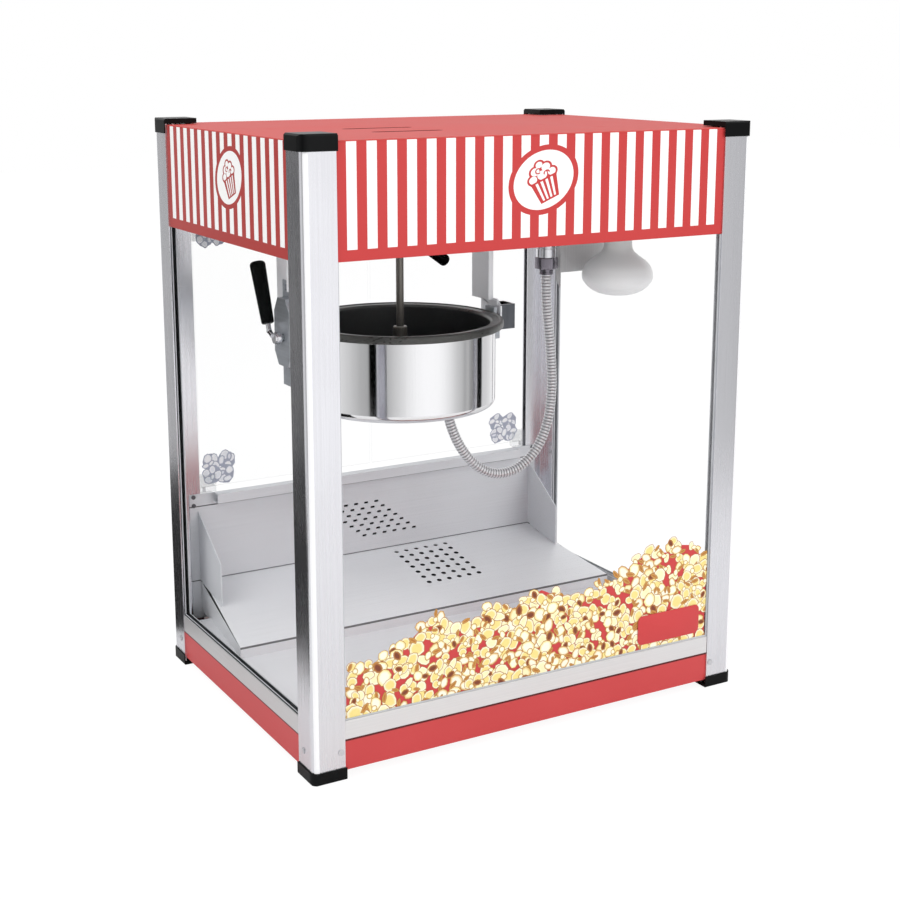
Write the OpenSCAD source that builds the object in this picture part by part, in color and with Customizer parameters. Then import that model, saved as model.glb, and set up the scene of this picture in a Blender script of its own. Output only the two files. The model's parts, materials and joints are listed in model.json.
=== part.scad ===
// Table-top popcorn maker: glass cabinet with a tilting kettle under a striped canopy.
// Millimetres, +Z up, X along the front, Y to the back; origin on the table under the middle.

/* [Cabinet] */
// Overall width, over the corner caps
cabinet_w = 560; // [520:5:620]
// Overall depth, over the corner caps
cabinet_d = 420; // [400:5:470]
// Overall height, from the table to the tops of the caps
cabinet_h = 675; // [665:5:740]
// Height of the canopy panels
canopy_h = 119; // [112:1:126]
// Drop from the cap tops to the canopy's top cover
cover_drop = 7; // [7:0.5:9]
// Thickness of the folded sheet metal
sheet_t = 1.2; // [0.8:0.1:1.4]

/* [Corner posts] */
// Width of each leg of a corner post
post_leg = 37; // [34:1:42]
// Wall of the extrusion
post_wall = 1.8; // [1.4:0.1:2.2]
// Side of the square tube in the post's corner
post_core = 18; // [17:0.5:20]
// Rounding of the post's outer corner
post_round = 8; // [5:0.5:10]
// Thickness of the lip behind the glass channel
lip_t = 1.5; // [1.2:0.1:2]
// How far caps and feet stand proud of the posts
cap_over = 1.5; // [1:0.1:2]
// Height of a top cap
cap_h = 17; // [14:0.5:20]
// Height of a foot
foot_h = 13.5; // [12:0.5:18]
// Thickness of the closed end of a cap or foot
end_t = 4; // [3:0.5:5]
// Depth of a plug inside the post's core
plug_len = 20; // [12:1:30]
// Clearance of a plug in the core
plug_clear = 0.2; // [0.1:0.05:0.4]

/* [Glass] */
// Thickness of the glass panes
glass_t = 4; // [3:0.5:5]
// Thickness of the rubber each side of the glass
gasket_t = 1.5; // [1:0.1:1.8]
// How far the rubber shows beyond posts and rails
gasket_show = 1.8; // [1:0.1:3]
// How far the glass runs up behind the canopy
glass_hide = 10; // [5:1:14]

/* [Base] */
// Gap between the table and the skirt
skirt_gap = 9.5; // [8:0.5:14]
// Height of the painted skirt
skirt_h = 35; // [32:1:42]
// Height of the aluminium rail above the skirt
rail_h = 20.5; // [18:0.5:26]
// Depth of the rail, front to back of its section
rail_d = 16; // [15:0.5:20]
// How far the rail stands out over the skirt
rail_proud = 1.2; // [0.6:0.1:1.4]

/* [Serving deck] */
// Height of the deck where it meets the back apron
deck_back_z = 97; // [88:1:102]
// Height of the deck at its front step
deck_front_z = 69; // [64:1:74]
// Place of the deck's front step, from the middle of the cabinet
deck_front_y = 26; // [10:1:40]
// Height of the back apron's top edge
apron_top = 210; // [200:1:214]
// Height of the apron's top band
band_h = 12; // [9:0.5:14]
// Depth of the apron's top band
band_d = 14; // [10:1:18]
// Depth of the gussets in front of the apron
gusset_d = 72; // [50:1:80]
// Spacing of the sieve holes
sieve_pitch = 15; // [13:0.5:16]
// Diameter of a sieve hole
sieve_hole = 6.5; // [4:0.5:7]
// Columns of sieve holes
sieve_cols = 6; // [4:1:7]
// Rows of sieve holes
sieve_rows = 7; // [4:1:8]

/* [Kernel drawer] */
// Inside width of the drawer
drawer_w = 396; // [300:2:410]
// Depth of the drawer, front to back
drawer_d = 168; // [140:2:172]
// Height of the drawer
drawer_h = 34; // [28:1:35]
// Clearance round the drawer
drawer_clear = 0.6; // [0.4:0.1:1.2]
// Travel of the drawer
drawer_travel = 140; // [100:5:150]

/* [Doors] */
// Thickness of the clear doors
door_t = 5; // [4:0.5:5]
// Gap between the doors in the middle
door_gap = 3; // [2:0.5:5]
// Distance from a post's leg to the door's hinge line
hinge_in = 7; // [7:0.5:10]
// Distance from the hinge line to the door's edge
hinge_edge = 5; // [4:0.5:5]
// Radius of the hinge pins
hinge_pin_r = 2; // [1.5:0.1:2]
// Width of a hinge clamp
clamp_w = 20; // [16:1:30]
// Height of a hinge clamp on the glass
clamp_h = 16; // [12:1:24]
// Cheek of a hinge clamp
cheek_t = 1.6; // [1.2:0.1:1.8]
// Radius of a door knob
knob_r = 11; // [8:0.5:14]
// How far a knob stands out from the glass
knob_h = 8; // [6:0.5:9]
// Height of the door knobs from the table
knob_z = 380; // [300:5:450]

/* [Kettle] */
// Place of the kettle's middle, along the front
kettle_x = -62; // [-66:1:-58]
// Distance of the tilt axis below the ceiling
kettle_drop = 147; // [140:1:152]
// Height of the rim above the tilt axis
rim_rise = 9; // [8:0.5:10]
// Radius of the rolled rim
rim_r = 121; // [119:0.5:121.5]
// Height of the rim band
rim_h = 9; // [7:0.5:10]
// Outer radius of the polished shell
shell_r = 111.5; // [109:0.5:112]
// Height of the shell below the rim
shell_h = 92; // [88:1:110]
// Inner radius of the pan
pan_r = 105; // [102:0.5:106]
// Inside depth of the pan
pan_depth = 78; // [72:1:80]
// Wall of the pan
pan_t = 2.4; // [2:0.1:2.8]
// Rounding between the pan's floor and wall
pan_round = 14; // [8:1:18]
// Thickness of the heating plate
heater_t = 8; // [6:1:9]
// Radius of the pivot pins
pivot_pin_r = 4; // [3:0.25:4.5]
// Running clearance of shafts and pins
run_clear = 0.05; // [0.03:0.01:0.1]

/* [Hangers] */
// Width of a hanger strap
hanger_w = 39; // [32:1:44]
// Thickness of a hanger strap
hanger_t = 2; // [1.5:0.25:2.5]
// Width of the rib along a hanger's front edge
hanger_rib = 6.5; // [4:0.5:8]
// Length of the tab that a hanger is screwed up by
hanger_tab = 20; // [14:1:26]
// Half-width of the ears round the pivot pins
ear_r = 14; // [12:0.5:15]
// Depth of the box round the right pin's end
clasp_d = 19; // [17:0.5:22]
// Depth of the housing on the left hanger
housing_d = 13; // [10:0.5:16]
// Height of the housing above the tilt axis
housing_up = 44; // [36:1:48]
// Height of the housing below the tilt axis
housing_down = 33; // [28:1:36]
// Half-width of the housing
housing_half = 20.5; // [18:0.5:24]
// How far the housing sits behind the tilt axis
housing_back = 2.5; // [2:0.5:5]
// Gap between the rim and the right hanger
hanger_gap = 2; // [1.5:0.25:2.5]
// Extra gap on the side of the handle
handle_gap = 13; // [12:0.5:15]

/* [Tilt handle] */
// Lean of the grip, from level
grip_lean = 68; // [50:1:80]
// Length of the grip
grip_len = 72; // [50:1:76]
// Radius of the grip
grip_r = 9; // [7:0.5:10]
// Radius of the handle rod
rod_r = 2.8; // [2:0.2:3.5]

/* [Stirrer] */
// Radius of the drive shaft
shaft_r = 4.5; // [3.5:0.25:5]
// Radius of the drive sleeve
sleeve_r = 8.3; // [7.5:0.1:9.5]
// Length of the drive sleeve
sleeve_len = 38; // [36:1:40]
// Thickness of the drive tongue
tongue_t = 4; // [3:0.25:5]
// Radius swept by the stirring arms
stir_r = 90; // [70:1:90]
// Width of the gearbox
gearbox_w = 90; // [80:2:100]
// Depth of the gearbox
gearbox_d = 68; // [60:2:76]
// Height of the gearbox
gearbox_h = 34; // [28:1:36]
// Radius of the motor
motor_r = 29; // [24:1:32]
// Height of the motor above its gearbox
motor_h = 30; // [24:1:34]

/* [Conduit] */
// Outer radius of the metal conduit
conduit_r = 6.4; // [5:0.1:7]
// Radius of the chrome connector
connector_r = 12.5; // [10:0.5:14]
// Length of the chrome connector below the ceiling
connector_len = 80; // [74:1:84]

/* [Lamp] */
// Place of the lamp, along the front
lamp_x = 212; // [205:1:214]
// Place of the lamp, front to back
lamp_y = -50; // [-60:1:-48]
// Radius of the reflector bulb
bulb_r = 43.4; // [36:0.2:44]
// Length of the bulb below its holder
bulb_len = 86; // [78:1:90]
// Height of the lamp holder below the ceiling
holder_h = 39; // [34:1:42]
// Radius of the lamp holder
holder_r = 19; // [17:0.5:22]
// Width of the shield behind the lamp
shield_w = 84; // [70:1:90]
// Height of the shield below the ceiling
shield_h = 101; // [80:1:110]
// How far the shield reaches left of the lamp
shield_left = 54; // [48:1:56]
// Gap between the bulb and the shield
shield_gap = 10; // [8:0.5:14]
// Depth of the shield's side wing
wing_d = 9; // [6:0.5:12]

/* [Canopy] */
// Height of the ceiling plate above the canopy's lower edge
ceiling_rise = 36; // [33:1:40]
// Length of a vent slot in the top cover
vent_len = 86; // [60:2:110]
// Width of a vent slot
vent_w = 12; // [5:1:14]
// Middle of the vent slots, left of the cabinet's middle
vent_x = -99; // [-120:1:-80]
// Distance between the two vent slots
vent_step = 72; // [40:2:90]
// Width of a rocker switch
rocker_w = 18; // [14:1:20]
// Height of a rocker switch
rocker_h = 25; // [20:1:26]
// Distance between the switches
rocker_step = 34; // [30:1:42]
// Height of the switches and the gland above the canopy's lower edge
switch_rise = 74; // [68:1:90]
// Place of the middle switch, in from the left post
switch_in = 110; // [100:2:150]
// Place of the cord gland, in from the right post
gland_in = 46; // [30:1:70]

/* [Hidden] */

$fn = 48;
eps = 0.01;
edge_x = cabinet_w / 2 - cap_over;           // outer faces of the posts
edge_y = cabinet_d / 2 - cap_over;
channel = glass_t + 2 * gasket_t + 0.2;      // width of the glass channel in posts and rails
inner_skin = post_wall + channel + lip_t;    // how far in the posts' inner face lies
post_foot = end_t;
post_top = cabinet_h - cap_plate();
cover_top = cabinet_h - cover_drop;
canopy_bottom = cover_top - canopy_h;
ceiling_z = canopy_bottom + ceiling_rise;
pivot_z = ceiling_z - kettle_drop;
rail_bottom = skirt_gap + skirt_h;
rail_top = rail_bottom + rail_h;
groove_depth = rail_h / 2;
panel_in = post_wall + sheet_t;              // inner face of canopy panels and skirt
post_gap = 0.6;                              // clearance round the posts' legs
glass_in = post_wall + 0.1 + gasket_t;       // outer face of the glass
glass_low = rail_top - groove_depth + gasket_t;
glass_top = canopy_bottom + glass_hide;
side_hold = post_core + 0.4;                 // where things held in a post's channel end
flange = 12;                                 // width of folded edges

// deck, apron and drawer
deck_floor_z = rail_top - groove_depth;      // the deck's front floor lies on the rails' ledges
apron_in = inner_skin;                       // apron's outer face, in from the back
apron_low = skirt_gap + skirt_h + 3;
apron_half = edge_x - post_core - 4.5;
deck_half = edge_x - post_leg + 4;
wing_half = edge_x - rail_d - 0.5;           // the slope's front corners reach the side rails
wing_rear_y = edge_y - post_leg - 3.5;       // where the slope stops flaring
cheek_in = 0.1;
gusset_top = apron_top - band_h - 10;
gusset_tip = deck_back_z + 42;
drawer_y1 = edge_y - panel_in - drawer_clear;
drawer_z = skirt_gap + sheet_t + drawer_clear / 2;
drawer_front_w = drawer_w + 16;

// doors
door_in = post_wall + sheet_t + 1 + door_t / 2;  // door's middle plane, in from the back
hinge_x = edge_x - post_leg - hinge_in;
door_edge = hinge_x + hinge_edge;
web_h = 6.5;                                 // solid end of a hinge clamp, below or above the pane
hinge_air = 0.6;                             // gap between a clamp and its bearing block
block_low_z = apron_top - 0.2;
door_low = block_low_z + hinge_air + web_h;
block_top_z = canopy_bottom + 0.3;
door_high = block_top_z - hinge_air - web_h;
block_h = 16;
catch_w = 44;

// kettle, in its upright place
rim_top = pivot_z + rim_rise;
rim_low = rim_top - rim_h;
pan_floor = rim_top - pan_depth;
shell_low = rim_low - shell_h;
shell_t = 1.2;
heater_top = pan_floor - pan_t;
inlet_x = kettle_x + 65;
arm_in = rim_r + 1;                          // inner face of a pivot bracket's arm
arm_t = 5;
right_plate = kettle_x + rim_r + hanger_gap; // inner face of the right strap
right_ear = kettle_x + arm_in + arm_t + 2;   // inner face of the right ear
left_plate = kettle_x - rim_r - handle_gap - hanger_t;
hanger_y = 4;                                // front edge of the straps
ear_top = pivot_z + 20;
ear_low = pivot_z - ear_r;
hub_x = left_plate - housing_d - 9.5;          // outer end of the left pivot pin
hub_t = 5;
grip_off = [13, 6];                          // elbow of the handle rod, from the tilt axis
sleeve_low = pivot_z - sleeve_len;
tongue_top = sleeve_low + 15;
stub_top = sleeve_low - 6;
hub_top = pan_floor + 15;

// flexible conduit: its line from the connector to the kettle, as [x, y, z]
ferrule_z = ceiling_z - connector_len - 24;
conduit_x = 141;
route = [[141, 0, 484], [141, 0, 476], [141.5, 0, 460], [143, 0, 438], [146, 0, 415], [149, 0, 390],
  [151, 0, 365], [151.5, 0, 340], [149.5, 0, 315], [144, 0, 292], [134, 0, 271],
  [119, 0, 254], [100, 0, 243], [80, 0, 240], [60, 0, 244], [42, 0, 255], [27, 0, 271],
  [15.5, 0, 289], [7.5, 0, 307], [3.8, 0, 319], [3, 0, 327], [3, 0, 334]];

// canopy fittings
motor_z = ceiling_z + sheet_t + 4;
switch_mid_x = -edge_x + post_leg + switch_in - 0.5;
switch_z = canopy_bottom + switch_rise;
rocker_pivot = 0.5;                          // rocker's axis, out from the panel's inner face
gland_x = edge_x - post_leg - gland_in + 0.5;
lever_pivot = [kettle_x - 36, -20, ceiling_z - 13];
lever_drop = 34.5;
lever_len = 62;
lever_grip_len = 58;

function cap_plate() = cover_drop - 1;

// ---- helpers ----
module mirrored(x, y) { mirror([x > 0 ? 1 : 0, 0, 0]) mirror([0, y > 0 ? 1 : 0, 0]) children(); }
// local frame with its corner on a post's outer corner, both axes pointing into the cabinet
module at_post(x, y) { mirrored(x, y) translate([-edge_x, -edge_y, 0]) children(); }
module rounded_quarter(size, r) {
  intersection() {
    square(size);
    union() { translate([r, r]) circle(r); translate([r, 0]) square(size); translate([0, r]) square(size); }
  }
}
// extrudes a shape drawn in Y and Z along X, from x0 over length len
module along_x(x0, len) { translate([x0, 0, 0]) rotate([90, 0, 90]) linear_extrude(len) children(); }
// extrudes a shape drawn in X and Z towards the back, from y0 over length len
module along_y(y0, len) { translate([0, y0 + len, 0]) rotate([90, 0, 0]) linear_extrude(len) children(); }
module box(x0, x1, y0, y1, z0, z1) { translate([x0, y0, z0]) cube([x1 - x0, y1 - y0, z1 - z0]); }
// square of the cabinet's inside without its four corners, inset from the posts' outer faces
module cross_shape(inset, corner) {
  difference() {
    translate([-edge_x + inset, -edge_y + inset]) square([2 * (edge_x - inset), 2 * (edge_y - inset)]);
    for (x = [-1, 1], y = [-1, 1]) mirrored(x, y) translate([-edge_x - 1, -edge_y - 1]) square(corner + 1);
  }
}
function arc(cx, cy, r, a0, a1, n = 6) =
  [for (i = [0:n]) let (a = a0 + (a1 - a0) * i / n) [cx + r * cos(a), cy + r * sin(a)]];

// ---- frame ----
module post_section() {
  difference() {
    union() {
      difference() { rounded_quarter(post_leg, post_round); translate([post_wall,
          post_wall]) square(post_leg); }
      intersection() { rounded_quarter(post_leg, post_round); square(post_core); }
      translate([post_core - 1, inner_skin - lip_t]) square([post_leg - post_core + 1, lip_t]);
      translate([inner_skin - lip_t, post_core - 1]) square([lip_t, post_leg - post_core + 1]);
    }
    translate([post_wall, post_wall]) rounded_quarter(post_core - 2 * post_wall, post_round - post_wall);
  }
}
screw_z = skirt_gap + skirt_h * 0.62;
screw_r = 2;
screw_front_in = 32;                         // screws' distance from the corner, front and back faces
screw_side_in = 25;                          // the same on the sides
apron_screw_r = 1.5;
// what the four lower screws of a post need, as holes of radius r running in from the faces
module post_screw_places(r, z0, z1) {
  translate([screw_front_in, 0, screw_z]) rotate([-90, 0, 0]) translate([0, 0, z0]) cylinder(r = r,
      h = z1 - z0);
  translate([0, screw_side_in, screw_z]) rotate([0, 90, 0]) translate([0, 0, z0]) cylinder(r = r,
      h = z1 - z0);
}
// the two screws that hold a side of the apron on a rear post's lip, as rods of radius r
module apron_screw_places(r, y0, y1) {
  for (x = [-1, 1], z = [apron_top - 3, apron_top - 14])
    translate([x * (apron_half - 5), y1, z]) rotate([90, 0, 0]) cylinder(r = r, h = y1 - y0);
}
module post(x, y) {
  color("gainsboro") difference() {
    at_post(x, y) difference() {
      translate([0, 0, post_foot]) linear_extrude(post_top - post_foot) post_section();
      post_screw_places(screw_r + run_clear, -1, post_wall + 1);
    }
    if (y > 0) apron_screw_places(apron_screw_r + run_clear, edge_y - inner_skin - 1,
        edge_y - inner_skin + lip_t + 1);
  }
}
module cover_block(z0, z1) {
  translate([-cap_over, -cap_over, z0]) linear_extrude(z1 - z0)
    rounded_quarter(post_leg + 2 * cap_over, post_round + cap_over);
}
// chamfers the two outer edges of a cap's closed end, which faces +Z
module end_chamfer(z, c) {
  for (k = [0, 1]) mirror([k, -k, 0]) translate([-cap_over, -cap_over, z]) rotate([90, 0, 90])
    translate([0, 0, -1]) linear_extrude(post_leg + 3 * cap_over + 3) polygon([[-1, -c - 1], [-1, 1],
        [c + 1, 1]]);
}
module plug(z0, z1) {
  s = post_core - 2 * post_wall - 2 * plug_clear;
  translate([post_wall + plug_clear, post_wall + plug_clear, z0]) linear_extrude(z1 - z0)
    difference() { rounded_quarter(s, post_round - post_wall); translate([2.5,
        2.5]) rounded_quarter(s - 5, 3); }
}
module top_caps() {
  color([0.12, 0.14, 0.15]) for (x = [-1, 1], y = [-1, 1]) at_post(x, y) {
    difference() {
      cover_block(cabinet_h - cap_h, cabinet_h);
      translate([0, 0, cabinet_h - cap_h - 1]) linear_extrude(cap_h + 1 - cap_plate()) union() {
        rounded_quarter(post_leg + 3 * cap_over, post_round);
      }
      end_chamfer(cabinet_h, 2);
    }
    plug(post_top - plug_len, post_top + eps);
  }
}
module corner_feet() {
  color([0.12, 0.14, 0.15]) for (x = [-1, 1], y = [-1, 1]) at_post(x, y) {
    difference() {
      cover_block(0, foot_h);
      translate([0, 0, end_t]) linear_extrude(foot_h) rounded_quarter(post_leg + 3 * cap_over, post_round);
      mirror([0, 0, 1]) end_chamfer(0, 1.2);
    }
    plug(post_foot - eps, post_foot + plug_len);
  }
}
module corner_screws() {
  color("silver") {
    for (x = [-1, 1], y = [-1, 1]) at_post(x, y) {
      post_screw_places(screw_r, 0, inner_skin - lip_t - 1);
      post_screw_places(screw_r * 1.7, -1, 0);
    }
    inside = edge_y - apron_in - sheet_t;
    apron_screw_places(apron_screw_r * 1.8, inside - 1.4, inside);
    apron_screw_places(apron_screw_r, inside - 1, inside + sheet_t + lip_t + 1);
  }
}

// ---- base ----
module skirt_wall(half, edge) {
  // painted wall with its top edge folded in, along X at the side facing -Y
  box(-half, half, -edge + post_wall, -edge + panel_in, skirt_gap, rail_bottom);
  in_half = half - (post_leg - side_hold) - post_gap;
  box(-in_half, in_half, -edge + post_wall, -edge + post_wall + flange, rail_bottom - sheet_t, rail_bottom);
}
module base_pan() {
  color([0.8, 0.31, 0.31]) difference() {
    union() {
      translate([0, 0, skirt_gap]) linear_extrude(sheet_t) cross_shape(post_wall, post_leg + post_gap);
      for (s = [0, 180]) rotate(s) skirt_wall(edge_x - side_hold, edge_y);
      for (s = [90, 270]) rotate(s) skirt_wall(edge_y - side_hold, edge_x);
    }
    for (x = [-1, 1], y = [-1, 1]) at_post(x, y) post_screw_places(screw_r + run_clear, 0, panel_in + 1);
    box(-drawer_w / 2 - 3 - drawer_clear, drawer_w / 2 + 3 + drawer_clear, edge_y - flange - 4, edge_y + 1,
      skirt_gap + sheet_t, rail_bottom + 1);
  }
}
module rail_profile() {
  out = post_wall - rail_proud;
  ledge = deck_floor_z;
  difference() {
    polygon([[out, rail_bottom], [rail_d, rail_bottom], [rail_d, ledge], [inner_skin, ledge],
      [inner_skin, rail_top - 1], [inner_skin - lip_t, rail_top], [post_wall + channel, rail_top],
      [post_wall + channel, ledge], [post_wall, ledge], [post_wall, rail_top], [out + 0.5, rail_top],
      [out, rail_top - 0.5]]);
    translate([out + 1.6, rail_bottom + 1.6]) square([rail_d - out - 3.2, ledge - rail_bottom - 3.2]);
  }
}
// a rail facing -Y, with its ends just clear of the posts
module rail(half, edge) {
  in_half = half - post_leg - post_gap / 2;
  color([0.87, 0.87, 0.89]) translate([0, -edge, 0]) along_x(-in_half, 2 * in_half) rail_profile();
}

// ---- glass ----
module pane(half) {
  h = half - side_hold - gasket_t;
  square_x(-h, h, glass_low, glass_top);
}
module square_x(x0, x1, z0, z1) { translate([x0, z0]) square([x1 - x0, z1 - z0]); }
module glass(half, edge) {
  color([0.85, 0.95, 0.95, 0.3]) along_y(-edge + glass_in, glass_t) pane(half);
}
module gasket(half, edge) {
  h = half - side_hold;
  hole = half - post_leg - gasket_show;
  along_y(-edge + post_wall + 0.1, channel - 0.2) difference() {
    square_x(-h, h, glass_low - gasket_t, canopy_bottom - 0.3);
    square_x(-hole, hole, rail_top + gasket_show, canopy_bottom + 1);
  }
}
module glass_gaskets() {
  color([0.08, 0.08, 0.08]) {
    difference() { gasket(edge_x, edge_y); glass(edge_x, edge_y); }
    for (s = [90, 270]) rotate(s) difference() { gasket(edge_y, edge_x); glass(edge_y, edge_x); }
  }
}

// ---- canopy ----
// a canopy panel facing -Y, its top edge folded in under the cover
module canopy_panel(half, edge) {
  h = half - side_hold;
  in_h = half - post_leg - post_gap;
  box(-h, h, -edge + post_wall, -edge + panel_in, canopy_bottom, cover_top - sheet_t);
  box(-in_h, in_h, -edge + post_wall, -edge + post_wall + flange, cover_top - 2 * sheet_t,
      cover_top - sheet_t);
}
module canopy_rear_panel() {
  color([0.82, 0.3, 0.3]) difference() {
    rotate(180) canopy_panel(edge_x, edge_y);
    translate([switch_mid_x, 0, switch_z]) box(-rocker_step - rocker_w, rocker_step + rocker_w,
      edge_y - panel_in - 1, edge_y, -rocker_h / 2 - 3, rocker_h / 2 + 3);
    translate([gland_x, edge_y, switch_z]) rotate([90, 0, 0]) cylinder(r = 8, h = 20, center = true);
  }
}
module top_cover() {
  color([0.85, 0.46, 0.44]) translate([0, 0, cover_top - sheet_t]) linear_extrude(sheet_t) difference() {
    cross_shape(post_wall, post_leg + post_gap);
    for (y = [0, -vent_step]) translate([vent_x, y - 18]) {
      square([vent_len - vent_w, vent_w], center = true);
      for (x = [-1, 1]) translate([x * (vent_len - vent_w) / 2, 0]) circle(d = vent_w);
    }
  }
}
module ceiling_plate() {
  color([0.78, 0.79, 0.8]) difference() {
    union() {
      translate([0, 0, ceiling_z]) linear_extrude(sheet_t) cross_shape(panel_in, post_leg + post_gap);
      for (s = [0, 180]) rotate(s) ceiling_fold(edge_x, edge_y);
      for (s = [90, 270]) rotate(s) ceiling_fold(edge_y, edge_x);
    }
    translate([kettle_x, 0, ceiling_z - 1]) cylinder(r = shaft_r + 2, h = sheet_t + 2);
    translate([conduit_x, 0, ceiling_z - 1]) cylinder(r = 8, h = sheet_t + 2);
    translate([lamp_x, lamp_y, ceiling_z - 1]) cylinder(r = 6, h = sheet_t + 2);
  }
}
module ceiling_fold(half, edge) {
  h = half - post_leg - post_gap;
  box(-h, h, -edge + panel_in, -edge + panel_in + sheet_t, ceiling_z, ceiling_z + flange);
}

// ---- serving deck, apron and drawer ----
deck_rear_y = edge_y - apron_in - sheet_t;
deck_slope = atan2(deck_back_z - deck_front_z, deck_rear_y - deck_front_y);
sieve_x = 64;                                // middle of the deck's sieve field
sieve_y = 136;
function deck_z(y) = deck_front_z                // height of the slope at y
  + (y - deck_front_y) * (deck_back_z - deck_front_z) / (deck_rear_y - deck_front_y);
// the slope's outline from above: flared towards the side rails at the front
module deck_plan() {
  polygon([[-wing_half, deck_front_y], [wing_half, deck_front_y], [deck_half - sheet_t, wing_rear_y],
    [deck_half - sheet_t, deck_rear_y], [sheet_t - deck_half, deck_rear_y], [sheet_t - deck_half, wing_rear_y]]);
}
// left cheek under the slope, and the floor beside it
module deck_side(floor_half) {
  t = sheet_t; x1 = sheet_t - deck_half + cheek_in; x0 = -wing_half + cheek_in;
  intersection() {
    along_x(x0, x1 - x0 + t) polygon([[deck_front_y, deck_floor_z + t / 2], [wing_rear_y, deck_floor_z + t / 2],
      [wing_rear_y, deck_z(wing_rear_y) - t / 2], [deck_front_y, deck_front_z - t / 2]]);
    linear_extrude(deck_back_z + 1) polygon([[x0, deck_front_y + t / 2], [x0 + t, deck_front_y + t / 2],
      [x1 + t, wing_rear_y], [x1, wing_rear_y]]);
  }
  along_x(x1, t) polygon([[wing_rear_y - t, deck_floor_z], [deck_rear_y - 1, deck_floor_z],
    [deck_rear_y - 1, deck_z(deck_rear_y - 1) - t / 2], [wing_rear_y - t, deck_z(wing_rear_y - t) - t / 2]]);
  box(-floor_half, x1 + 2 * t, deck_front_y - 1, wing_rear_y + 0.3, deck_floor_z, deck_floor_z + t);
}
module deck_plate() {
  t = sheet_t; floor_half = edge_x - inner_skin - 0.2; floor_front = -edge_y + inner_skin + 0.2;
  color([0.8, 0.8, 0.82]) difference() {
    union() {
      intersection() {
        along_x(-wing_half - 1, 2 * wing_half + 2) polygon([[deck_front_y - 1, deck_z(deck_front_y - 1)],
          [deck_front_y - 1, deck_z(deck_front_y - 1) - t], [deck_rear_y + 1, deck_z(deck_rear_y + 1) - t],
          [deck_rear_y + 1, deck_z(deck_rear_y + 1)]]);
        linear_extrude(deck_back_z + 9) deck_plan();
      }
      box(-wing_half, wing_half, deck_front_y, deck_front_y + t, deck_floor_z + t / 2, deck_front_z - t / 2);
      box(-floor_half, floor_half, floor_front, deck_front_y + t, deck_floor_z, deck_floor_z + t);
      for (x = [-1, 1]) mirrored(x, -1) deck_side(floor_half);
    }
    for (x = [-1, 1]) mirrored(x, -1) translate([-edge_x, -edge_y, deck_floor_z - 1])
      cube([post_leg + post_gap, post_leg + post_gap, sheet_t + 2]);
    for (i = [0:sieve_cols - 1], j = [0:sieve_rows - 1])
      translate([sieve_x + (i - (sieve_cols - 1) / 2) * sieve_pitch,
          sieve_y + (j - (sieve_rows - 1) / 2) * sieve_pitch, 0])
        translate([0, 0, deck_front_z]) cylinder(d = sieve_hole, h = 60, center = true, $fn = 20);
  }
}
module rear_apron() {
  y = edge_y - apron_in - sheet_t;
  color([0.76, 0.77, 0.79]) difference() {
    union() {
      box(-apron_half, apron_half, y, y + sheet_t, apron_low, apron_top);
      band_half = hinge_x - clamp_w / 2 - 1;
      along_x(-band_half, 2 * band_half) difference() {
        translate([y + sheet_t - band_d, apron_top - band_h]) square([band_d, band_h]);
        translate([y + 2 * sheet_t - band_d, apron_top - band_h + sheet_t])
          square([band_d - 2 * sheet_t, band_h - 2 * sheet_t]);
      }
      for (x = [-deck_half, deck_half - sheet_t]) along_x(x, sheet_t) polygon([
        [y + eps, deck_back_z + 0.3], [y - gusset_d, deck_z(y - gusset_d) + 0.3],
        [y - gusset_d, gusset_tip], [y + eps, gusset_top]]);
    }
    apron_screw_places(apron_screw_r + run_clear, y - 1, y + sheet_t + 1);
    // slanted field of short vent slots
    for (i = [0:sieve_cols - 1], j = [0:sieve_rows - 1])
      translate([-4 + (i - (sieve_cols - 1) / 2) * sieve_pitch + (j - (sieve_rows - 1) / 2) * 9.5, y - 1,
        142 - (j - (sieve_rows - 1) / 2) * 7.5]) vent_slot(sieve_hole, 3);
  }
}
module vent_slot(w, h) {
  translate([-(w - h) / 2, 0, -h / 2]) cube([w - h, 5, h]);
  for (x = [-1, 1]) translate([x * (w - h) / 2, 0, 0]) rotate([-90, 0, 0]) cylinder(d = h, h = 5, $fn = 16);
}
module kernel_drawer() {
  t = 1;
  color([0.75, 0.76, 0.78]) translate([0, 0, drawer_z]) difference() {
    box(-drawer_w / 2, drawer_w / 2, drawer_y1 - drawer_d, drawer_y1, 0, drawer_h - 2);
    box(-drawer_w / 2 + t, drawer_w / 2 - t, drawer_y1 - drawer_d + t, drawer_y1 - t, t, drawer_h);
  }
}
module drawer_pull() {
  color([0.8, 0.31, 0.31]) difference() {
    union() {
      box(-drawer_front_w / 2, drawer_front_w / 2, edge_y - post_wall + 0.3, edge_y - 0.2, drawer_z,
          rail_bottom - 1);
      box(-drawer_w / 2, drawer_w / 2, drawer_y1, edge_y - post_wall + 0.4, drawer_z,
          drawer_z + drawer_h - 2);
      along_x(-45, 90) polygon([[edge_y - 0.3, skirt_gap + 26], [cabinet_d / 2 - 0.5, skirt_gap + 26],
        [cabinet_d / 2 - 0.5, skirt_gap + 23], [edge_y - 0.3, skirt_gap + 23]]);
    }
  }
}

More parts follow.
